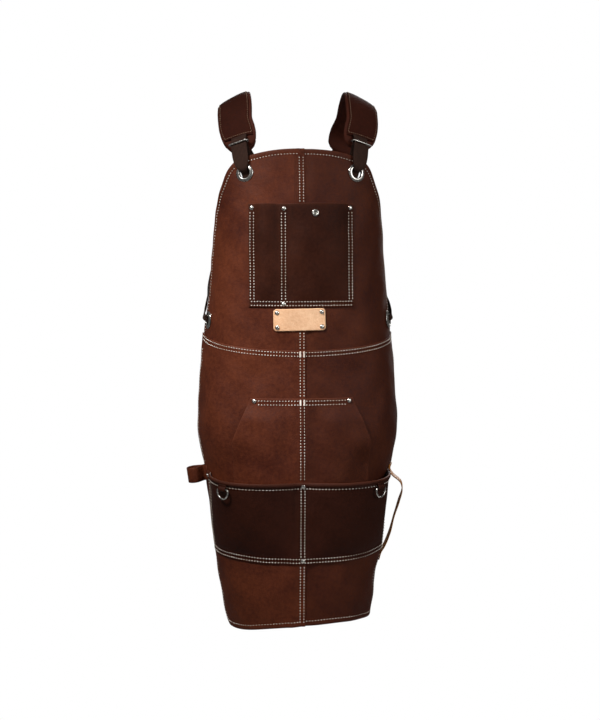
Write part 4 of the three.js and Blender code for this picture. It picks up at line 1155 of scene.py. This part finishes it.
class APRON_OT_d_rings(Piece):
    """Builds the D-rings and the folded tabs that hold them"""

    bl_idname = "apron.d_rings"
    bl_label = "D-rings and tabs"

    def execute(self, context):
        centre = GAP + LEATHER + D_RING["running"] + D_RING["wire"]
        for name, side in SIDES.items():
            at, bar, up, out = tab_place(side)
            middle = at + out * centre
            ring = [middle + bar * x + np.array([0, 0, 1]) * drop for x, drop in ring_path()]
            steel(f"d_ring_{name}", f"ring_{name}", *tube(ring, D_RING["wire"]))
            stations = [np.r_[at + out * o + up * h, bar, TAB["width"]] for o, h in tab_path(centre)]
            # The tabs share the tool pocket's darker hide: painted shade.
            band(f"leather_tab_{name}", f"d_ring_tab_{name}", "panel_leather", "folded",
                 "leather_tool_pocket", TAB["width"], stations, hide("tool_pocket_painted_shade_hide")[:1], LEATHER, 0.8)
        return {"FINISHED"}


class APRON_OT_tool_loops(Piece):
    """Builds the leather band loop and the tan strap loop"""

    bl_idname = "apron.tool_loops"
    bl_label = "Tool loops"

    def execute(self, context):
        s, z, base = LOOP_SEAT["s"], LOOP_SEAT["z"], skirt_face(LOOP_SEAT["s"]) + GAP + LEATHER / 2
        width, stations = LOOP_SEAT["left_width"], []
        for along, out in zip(*LOOP_LEFT.values()):
            at, _, up, _ = seat(-s + along, z, at_height(base + out))
            stations.append(np.r_[at, -up, width])
        band("leather_tool_loop_left", "tool_loop_left", "panel_leather", "folded", "leather_skirt_left",
             width, stations, hide()[:1], LEATHER, 1.6)
        width, stations = LOOP_SEAT["right_width"], []
        for z, out in zip(*LOOP_RIGHT.values()):
            at, across, _, _ = seat(s, z, at_height(base + out))
            stations.append(np.r_[at, across, width])
        band("leather_tool_loop_right", "tool_loop_right", "strap_leather", "folded", "leather_skirt_right",
             width, stations, [material("tan_strap_leather")], LEATHER, 2.0)
        return {"FINISHED"}


def strap_seat(side):
    """A bib grommet's frame, turned so that its upright runs along the leaning webbing."""
    at, across, up, out = seat(side * BIB_GROMMET[0], BIB_GROMMET[1], at_height(0))
    lean = math.radians(STRAP_LEAN) * side
    beside = across * math.cos(lean) - up * math.sin(lean)
    return at, beside, up * math.cos(lean) + across * math.sin(lean), out


def pad_run(side):
    """A pad's middle line and its frames: places, across, out and shares of its length."""
    place = strap_seat(side)
    points = [from_seat(place, 0, up, out) for up, out in PAD_FRONT]
    points += [np.array([side * x, y, z]) for x, y, z in PAD_TOP]
    for across, z in PAD_BACK:
        points.append(on_body(side * (half_girth(z)[0] - across), z, PAD["thick"] / 2 + GAP))
    at, way = curve(points, 3.0)
    share = way / way[-1]
    along = unit(np.gradient(at, axis=0))
    front = place[1]
    lean = math.radians(PAD["lean"])
    top = np.array([math.cos(lean), 0, -math.sin(lean) * side])
    across = front + (top - front) * step(share, *PAD_TURNS[0])[:, None]
    across = across + (front * np.array([1, -1, 1]) - across) * step(share, *PAD_TURNS[1])[:, None]
    across = unit(across - along * (across * along).sum(axis=1, keepdims=True))
    return at, across, np.cross(across, along), share


def pad_width(share):
    """Half width of a pad along its run, drawn in at both ends."""
    return PAD["width"] / 2 * np.interp(np.minimum(share, 1 - share), PAD_TAPER["share"], PAD_TAPER["width"])


def pad_point(run, share, aside, out):
    """Points on a pad at shares of its length."""
    *frames, shares = run
    at, across, up = (
        np.stack([np.interp(share, shares, axis) for axis in rows.T], axis=-1) for rows in frames)
    return at + across * np.asarray(aside)[..., None] + up * np.asarray(out)[..., None]


def cover_height(share, across):
    """Top of a pad's cover at a share of its length and a place from -1 to 1 across it."""
    ends = np.minimum(share - COVER["ends"][0], COVER["ends"][1] - share)
    crown = (1 - np.abs(across) ** 3.2) * np.clip(ends / COVER["round"], 0, 1) ** 0.4
    return COVER["edge"] + (COVER["rise"] - COVER["edge"]) * np.clip(crown, 0, 1)


def cover_share(share, across, side):
    """Shares of a pad's length at places across its cover, whose front end is cut square to the webbing."""
    return share + COVER["skew"] * side * across * (1 - step(share, COVER["ends"][0], COVER["square_to"]))


def end_rounded(count):
    """Shares of a length, with close ones at both round ends."""
    return np.r_[0, 0.002, 0.006, np.linspace(0.012, 0.988, count), 0.994, 0.998, 1]


class APRON_OT_pads(Piece):
    """Builds the shoulder pads: a piped base and a narrower padded cover"""

    bl_idname = "apron.pads"
    bl_label = "Shoulder pads"

    def execute(self, context):
        start, end = COVER["ends"]
        across, out = np.array(PAD_BASE).T
        share = end_rounded(110)
        wide = pad_width(share)
        thin = np.clip(np.minimum(share, 1 - share) / COVER["round"], 0.15, 1) ** 0.5
        length = (start + (end - start) * end_rounded(100))[:, None]
        place = np.r_[-1, -0.985, np.linspace(-0.95, 0.95, 15), 0.985, 1]
        top = cover_height(length, place)
        under = np.maximum(np.where(np.abs(place) > 0.86, 0, top - LEATHER), COVER["under"])
        top = top - 0.5 * (np.abs(place) > 0.99)
        for name, side in SIDES.items():
            run = pad_run(side)
            base = loft(pad_point(run, share[:, None], wide[:, None] * across, thin[:, None] * out))
            skewed = cover_share(length, place, side)
            aside = pad_width(skewed) * PAD["cover"] / PAD["width"] * place
            upper, lower = pad_point(run, skewed, aside, top), pad_point(run, skewed, aside, under)
            cover = loft(np.concatenate([upper, lower[:, ::-1]], axis=1)[:, ::-1])
            shades = np.r_[np.zeros(len(base[1])), np.ones(len(cover[1]))]
            made = piece(f"shoulder_pad_body_{name}", *join([base, cover]),
                         [material("pad_piping_leather"), material("glazed_pad_leather")], shades)
            place_piece(made, f"shoulder_pad_{name}")
        return {"FINISHED"}


def sewn_end(run, places):
    """Stations of webbing tucked between a pad's base and cover."""
    rows = []
    for share, out in places:
        beside = np.array([np.interp(share, run[3], axis) for axis in run[1].T])
        rows.append(np.r_[pad_point(run, share, 0.0, out), beside, WEBBING_WIDTH])
    return rows


class APRON_OT_webbing(Piece):
    """Builds the front and back webbing straps"""

    bl_idname = "apron.webbing"
    bl_label = "Webbing straps"

    def execute(self, context):
        cloth = [material("woven_webbing")]
        for name, side in SIDES.items():
            run, place = pad_run(side), strap_seat(side)
            stations = sewn_end(run, SEWN_FRONT)
            for out, up, width in zip(*FRONT_STRAP.values()):
                stations.append(np.r_[from_seat(place, 0, up, out), place[1], width])
            band(f"webbing_front_{name}", f"front_strap_{name}", "webbing", "hung", f"bib_grommet_{name}",
                 WEBBING_WIDTH, stations, cloth, WEBBING, 2.0, WEBBING_CUP)
            band(f"webbing_back_{name}", f"back_strap_{name}", "webbing", "stretched",
                 f"shoulder_pad_body_{name}", WEBBING_WIDTH, self.back(side, run), cloth, WEBBING, 2.6,
                 WEBBING_CUP)
        return {"FINISHED"}

    def back(self, side, run):
        """Stations from a pad's back end across to the other side's waist grommet."""
        stations = sewn_end(run, SEWN_BACK)
        centre_s, centre_z = WAIST_GROMMET
        end = -(half_girth(centre_z)[0] - WAIST_LOOP["s"][0])
        low = centre_z + (WAIST_LOOP["s"][0] - centre_s) * WAIST_SLOPE
        over = 1 if side < 0 else 0
        for k in range(BACK_STATIONS):
            across = BACK_TOP[0] + (end - BACK_TOP[0]) * k / BACK_STATIONS
            z = BACK_TOP[1] + (low - BACK_TOP[1]) * k / BACK_STATIONS
            lift = BACK_LIFT + over * LAYER * (1 - step(abs(across), *BACK_CROSSING))
            lift = lift + BACK_OFF_PAD * (1 - step(k, 0, 3))
            around = half_girth(z)[0]
            s = side * (around - across) if across >= 0 else -side * (around + across)
            at, beside, up, _ = seat(s, z, at_height(lift))
            along = unit(up * BACK_WAY[1] - side * beside * BACK_WAY[0])
            stations.append(np.r_[at, np.cross(np.cross(beside, up), along), WEBBING_WIDTH])
        for s, out, width in zip(*WAIST_LOOP.values()):
            at, beside, up, normal = seat(-side * s, centre_z + (s - centre_s) * WAIST_SLOPE, at_height(out))
            along = unit(-side * beside + up * WAIST_SLOPE)
            stations.append(np.r_[at, np.cross(normal, along), width])
        return stations


class APRON_OT_keepers(Piece):
    """Builds the wire keepers on the front webbing"""

    bl_idname = "apron.keepers"
    bl_label = "Strap keepers"

    def execute(self, context):
        corner, path = KEEPER["corner"], []
        for a, o, quarter in ((1, 1, 0), (-1, 1, 1), (-1, -1, 2), (1, -1, 3)):
            for t in np.linspace(0, math.pi / 2, 6) + quarter * math.pi / 2:
                path.append((a * (KEEPER["half"] - corner) + corner * math.cos(t),
                             o * (KEEPER["rise"] - corner) + corner * math.sin(t)))
        for name, side in SIDES.items():
            place = strap_seat(side)
            middle = from_seat(place, 0, KEEPER["up"], KEEPER["out"])
            wire = [middle + place[1] * a + place[3] * o for a, o in path]
            steel(f"strap_keeper_{name}", ROOT, *tube(wire, KEEPER["wire"]))
        return {"FINISHED"}


# Stitches.

def stitches(first, last, normals, thread):
    """Points and faces of stitches between rows of ends."""
    along = last - first
    aside = unit(np.cross(normals, along))
    angles = np.arange(STITCH_SIDES) * 2 * math.pi / STITCH_SIDES
    place = first[:, None] + along[:, None] * STITCH["along"][None, :, None]
    place = place + normals[:, None] * (STITCH["rise"] * thread)[None, :, None]
    radius = (STITCH["thick"] * thread / 2)[None, :, None, None]
    around = aside[:, None, None] * np.cos(angles)[:, None] + normals[:, None, None] * np.sin(angles)[:, None]
    points = place[:, :, None] + radius * around
    rings = len(STITCH["along"])
    ids = np.arange(rings * STITCH_SIDES).reshape(rings, STITCH_SIDES)
    following = np.roll(ids, -1, axis=1)
    quads = np.stack([ids[:-1], ids[1:], following[1:], following[:-1]], axis=-1).reshape(-1, 4)
    steps = (np.arange(len(first)) * rings * STITCH_SIDES)[:, None, None]
    caps = (np.stack([ids[0], ids[-1][::-1]]) + steps).reshape(-1, STITCH_SIDES)
    return points.reshape(-1, 3), (quads + steps).reshape(-1, 4).tolist() + caps.tolist()


def way_along(line):
    """Way run along a line of points."""
    return np.r_[0, np.cumsum(np.linalg.norm(np.diff(line, axis=0), axis=1))]


def middles(way, pitch):
    """Middles of stitches spread evenly over a way."""
    count = max(int(way[-1] / pitch), 1)
    return (np.arange(count) + 0.5) * way[-1] / count


def sewn(line, lift, pitch=None, length=None):
    """Stitches along a line of (s, z) on a lifted surface."""
    pitch, length = pitch or size("pitch"), length or size("stitch")
    line = np.asarray(line, float)
    fine = np.linspace(0, len(line) - 1, 30 * len(line))
    s, z = (np.interp(fine, np.arange(len(line)), line[:, i]) for i in (0, 1))
    way = way_along(form(s, z))
    middle = middles(way, pitch)
    ends = []
    for at in (middle - length / 2, middle + length / 2):
        end_s, end_z = np.interp(at, way, s), np.interp(at, way, z)
        ends.append(on_body(end_s, end_z, lift(end_s, end_z)))
    return stitches(*ends, outward(np.interp(middle, way, s), np.interp(middle, way, z)), size("thread"))


def upright(s, top, bottom, count=24):
    """A line down the sheet."""
    z = np.linspace(top, bottom, count)
    return np.stack([s + 0 * z, z], axis=1)


def level(z, first, last, count=40):
    """A line across the sheet; z may be a function of s."""
    s = np.linspace(first, last, count)
    return np.stack([s, z(s) if callable(z) else z + 0 * s], axis=1)


def bar_tacks(top, lift):
    """Two upright bars of close stitches where the centre seam crosses a row."""
    width = TACK["width"]
    lines = [level(top - k * TACK["pitch"], s - width / 2, s + width / 2, 3)
             for s in SEAM for k in range(TACK["rows"])]
    return [sewn(line, on_grain(lift), width, width) for line in lines]


class APRON_OT_stitches(Piece):
    """Sews the seams of the panels, pockets and pads"""

    bl_idname = "apron.stitches"
    bl_label = "Stitches"

    def execute(self, context):
        tacks = {
            "skirt": bar_tacks(waist_line(0) - TACK["below_waist"], skirt_lift),
            "hand_pocket": bar_tacks(HAND["top"] - TACK["below_hand"], hand_lift),
        }
        for name, lines, lift in (
                ("bib", self.bib(), bib_lift), ("skirt", self.skirt(), skirt_lift),
                ("chest_pocket", self.chest(), chest_lift), ("hand_pocket", self.hand(), hand_lift),
                ("tool_pocket", self.tool(), tool_lift)):
            rows = [sewn(line, on_grain(lift)) for line in lines]
            self.sew(name, rows + tacks.get(name, []), "waxed_thread")
        self.sew("pads", self.pads(), "tan_thread")
        return {"FINISHED"}

    def sew(self, name, parts, thread):
        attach(piece(f"stitches_{name}", *join(parts), [material(thread)]), ROOT)

    def bib(self):
        lines = []
        for side in SIDES.values():
            line = inset(bib_outline(side), size("hem_width") + CLEAR["fold"], side)
            down = line[:, 1]
            lines += [line[2:48], line[(down < BIB_SIDE_ROW[0]) & (down > BIB_SIDE_ROW[1])]]
        for s in SEAM:
            lines.append(upright(s, BIB_TOP - CLEAR["hem"], CHEST["top"] + 2))
            lines.append(upright(s, LABEL["z"] - CLEAR["label"], waist_line(0) + 2, 6))
        return lines

    def skirt(self):
        reach = WAIST_ROW_REACH
        lines = [level(lambda s: waist_line(s) - below, -reach, reach, 60) for below in ROWS["waist"]]
        for side in SIDES.values():
            line = inset(skirt_outline(side), size("hem_width") + CLEAR["fold"], side)
            aside, down = np.abs(line[:, 0]), line[:, 1]
            beside = (down < SKIRT_SIDE_ROW[0]) & (down > SKIRT_SIDE_ROW[1])
            lines.append(line[(aside > SKIRT_SIDE_FROM) & beside])
            lines.append(line[(down < TOOL["bottom"] - 4) & (aside > 4)])
        for s in SEAM:
            lines.append(upright(s, waist_line(0) - CLEAR["tack"], HAND["top"] + 2))
            lines.append(upright(s, TOOL["bottom"] - 3, hem_line(0.0) + 6))
        return lines

    def chest(self):
        half, top, bottom, divider = (CHEST[key] for key in ("half", "top", "bottom", "divider"))
        near, far = ROWS["chest"]
        low = bottom + CLEAR["foot"]
        beside = (-half + near, -half + far, half - near, half - far)
        lines = [upright(s, top - CLEAR["rivet"], low) for s in beside]
        lines += [upright(s, top - CLEAR["divider"], low) for s in (divider - near, divider + near)]
        reach = half - CLEAR["side"]
        return lines + [level(bottom + up, -reach, reach) for up in ROWS["chest_foot"]]

    def hand(self):
        lines = [level(HAND["top"] - down, -HAND_ROW_REACH, HAND_ROW_REACH) for down in ROWS["hand"]]
        return lines + [upright(s, HAND["top"] - CLEAR["tack"], TOOL["mouth"] + 3) for s in SEAM]

    def tool(self):
        half, mouth, low = TOOL["half"], TOOL["mouth"], TOOL["bottom"] + CLEAR["foot"]
        below = mouth - (size("welt_width") + CLEAR["welt"])
        reach = half - CLEAR["welt_end"]
        lines = [level(lambda s: below + tool_rise(s), -reach, reach, 80)]
        reach = half - CLEAR["side"]
        for up in ROWS["tool"]:
            lines.append(level(lambda s: TOOL["bottom"] + up + tool_rise(s), -reach, reach, 80))
        lines += [upright(s + TOOL_SEAM_SHIFT, mouth - CLEAR["rivet"], low) for s in SEAM]
        for s in [side * (half - into) for side in SIDES.values() for into in ROWS["tool"]]:
            rise = float(tool_rise(s))
            lines.append(upright(s, mouth - CLEAR["tack"] + rise, low + rise))
        return lines

    def pads(self):
        start, end = COVER["ends"][0] + COVER["round"], COVER["ends"][1] - COVER["round"]
        edge = COVER["row"]
        rows = [(np.linspace(start, end, 400), across) for across in (-edge, edge)]
        rows += [(np.full(60, share), np.linspace(-edge, edge, 60)) for share in (start, end)]
        return [self.pad_row(pad_run(side), side, *row) for side in SIDES.values() for row in rows]

    def pad_row(self, run, side, share, across):
        """Finer stitches along a line on a pad's cover."""
        skewed = cover_share(share, across, side)
        aside = across * pad_width(skewed) * PAD["cover"] / PAD["width"]
        out = cover_height(share, across)
        line = pad_point(run, skewed, aside, out)
        normal = unit(pad_point(run, skewed, aside, out + 1.0) - line)
        way = way_along(line)
        middle = middles(way, PAD_SEWING["pitch"] * size("pitch"))
        half = PAD_SEWING["stitch"] * size("stitch") / 2
        picks = ((middle - half, line), (middle + half, line), (middle, normal))
        first, last, normals = (
            np.stack([np.interp(at, way, axis) for axis in rows.T], axis=1) for at, rows in picks)
        return stitches(first, last, unit(normals), PAD_SEWING["thread"] * size("thread"))


class APRON_OT_stage(Piece):
    """Sets the floor, lights, background and camera"""

    bl_idname = "apron.stage"
    bl_label = "Stage"

    def execute(self, context):
        scene = context.scene
        paper = surfaced(blank("white_paper")[0], {"Base Color": linear(WHITE), "Roughness": 0.9})
        angles = np.arange(FLOOR["sides"]) * 2 * math.pi / FLOOR["sides"]
        rim = [(FLOOR["radius"] * math.cos(a), FLOOR["radius"] * math.sin(a), FLOOR["level"]) for a in angles]
        piece("floor", rim, [tuple(range(len(rim)))], [paper])
        for name, (place, target, width, power, spread) in LIGHTS.items():
            lamp = bpy.data.lights.new(name, "AREA")
            lamp.size, lamp.energy, lamp.spread = width, power, math.radians(spread)
            holder = self.held(scene, name, lamp, place, Vector(target) - Vector(place))
            holder.visible_camera = False
        scene.world = bpy.data.worlds.new("white_surround")
        scene.world.use_nodes = True
        tree = scene.world.node_tree
        tree.nodes.clear()
        seen = add(tree, "LightPath").outputs["Is Camera Ray"]
        strength = ranged(tree, seen, 0.0, 1.0, AMBIENT, 1.0)
        surround = add(tree, "Background", {"Color": linear(WHITE)}, {"Strength": strength})
        add(tree, "OutputWorld", None, {"Surface": surround.outputs[0]})
        camera = bpy.data.cameras.new("camera")
        camera.lens, camera.sensor_width = CAMERA["lens"], CAMERA["sensor"]
        camera.clip_end = CAMERA["clip_end"]
        tilt = math.radians(CAMERA["tilt"])
        ahead = Vector((*(math.cos(tilt) * c for c in CAMERA["heading"]), -math.sin(tilt)))
        scene.camera = self.held(scene, "camera", camera, CAMERA["place"], ahead)
        scene.view_settings.view_transform = "Standard"
        return {"FINISHED"}

    def held(self, scene, name, data, place, ahead):
        """A lamp or camera at a place, turned ahead."""
        holder = bpy.data.objects.new(name, data)
        holder.location = place
        holder.rotation_euler = ahead.to_track_quat("-Z", "Y").to_euler()
        scene.collection.objects.link(holder)
        return holder


BUILDERS = (
    APRON_OT_panels, APRON_OT_chest_pocket, APRON_OT_hand_pocket, APRON_OT_tool_pocket, APRON_OT_label,
    APRON_OT_rivets, APRON_OT_grommets, APRON_OT_d_rings, APRON_OT_tool_loops, APRON_OT_pads,
    APRON_OT_webbing, APRON_OT_keepers, APRON_OT_stitches, APRON_OT_stage,
)


class APRON_PT_sidebar(bpy.types.Panel):
    """Sizes, colours and builders of the apron"""

    bl_idname = "APRON_PT_sidebar"
    bl_label = "Leather work apron"
    bl_space_type = "VIEW_3D"
    bl_region_type = "UI"
    bl_category = "Apron"

    def draw(self, context):
        for group in (context.scene.apron_sizes, context.scene.apron_colours):
            for name in group.__annotations__:
                self.layout.prop(group, name)
        for builder in BUILDERS:
            self.layout.operator(builder.bl_idname)


CLASSES = (ApronSizes, ApronColours) + BUILDERS + (APRON_PT_sidebar,)


def register():
    for cls in CLASSES:
        bpy.utils.register_class(cls)
    bpy.types.Scene.apron_sizes = bpy.props.PointerProperty(type=ApronSizes)
    bpy.types.Scene.apron_colours = bpy.props.PointerProperty(type=ApronColours)


def unregister():
    del bpy.types.Scene.apron_colours
    del bpy.types.Scene.apron_sizes
    for cls in reversed(CLASSES):
        bpy.utils.unregister_class(cls)


def main():
    register()
    for builder in BUILDERS:
        group, name = builder.bl_idname.split(".")
        if getattr(getattr(bpy.ops, group), name)() != {"FINISHED"}:
            raise RuntimeError(f"{builder.bl_label} was not built")


if __name__ == "__main__":
    main()
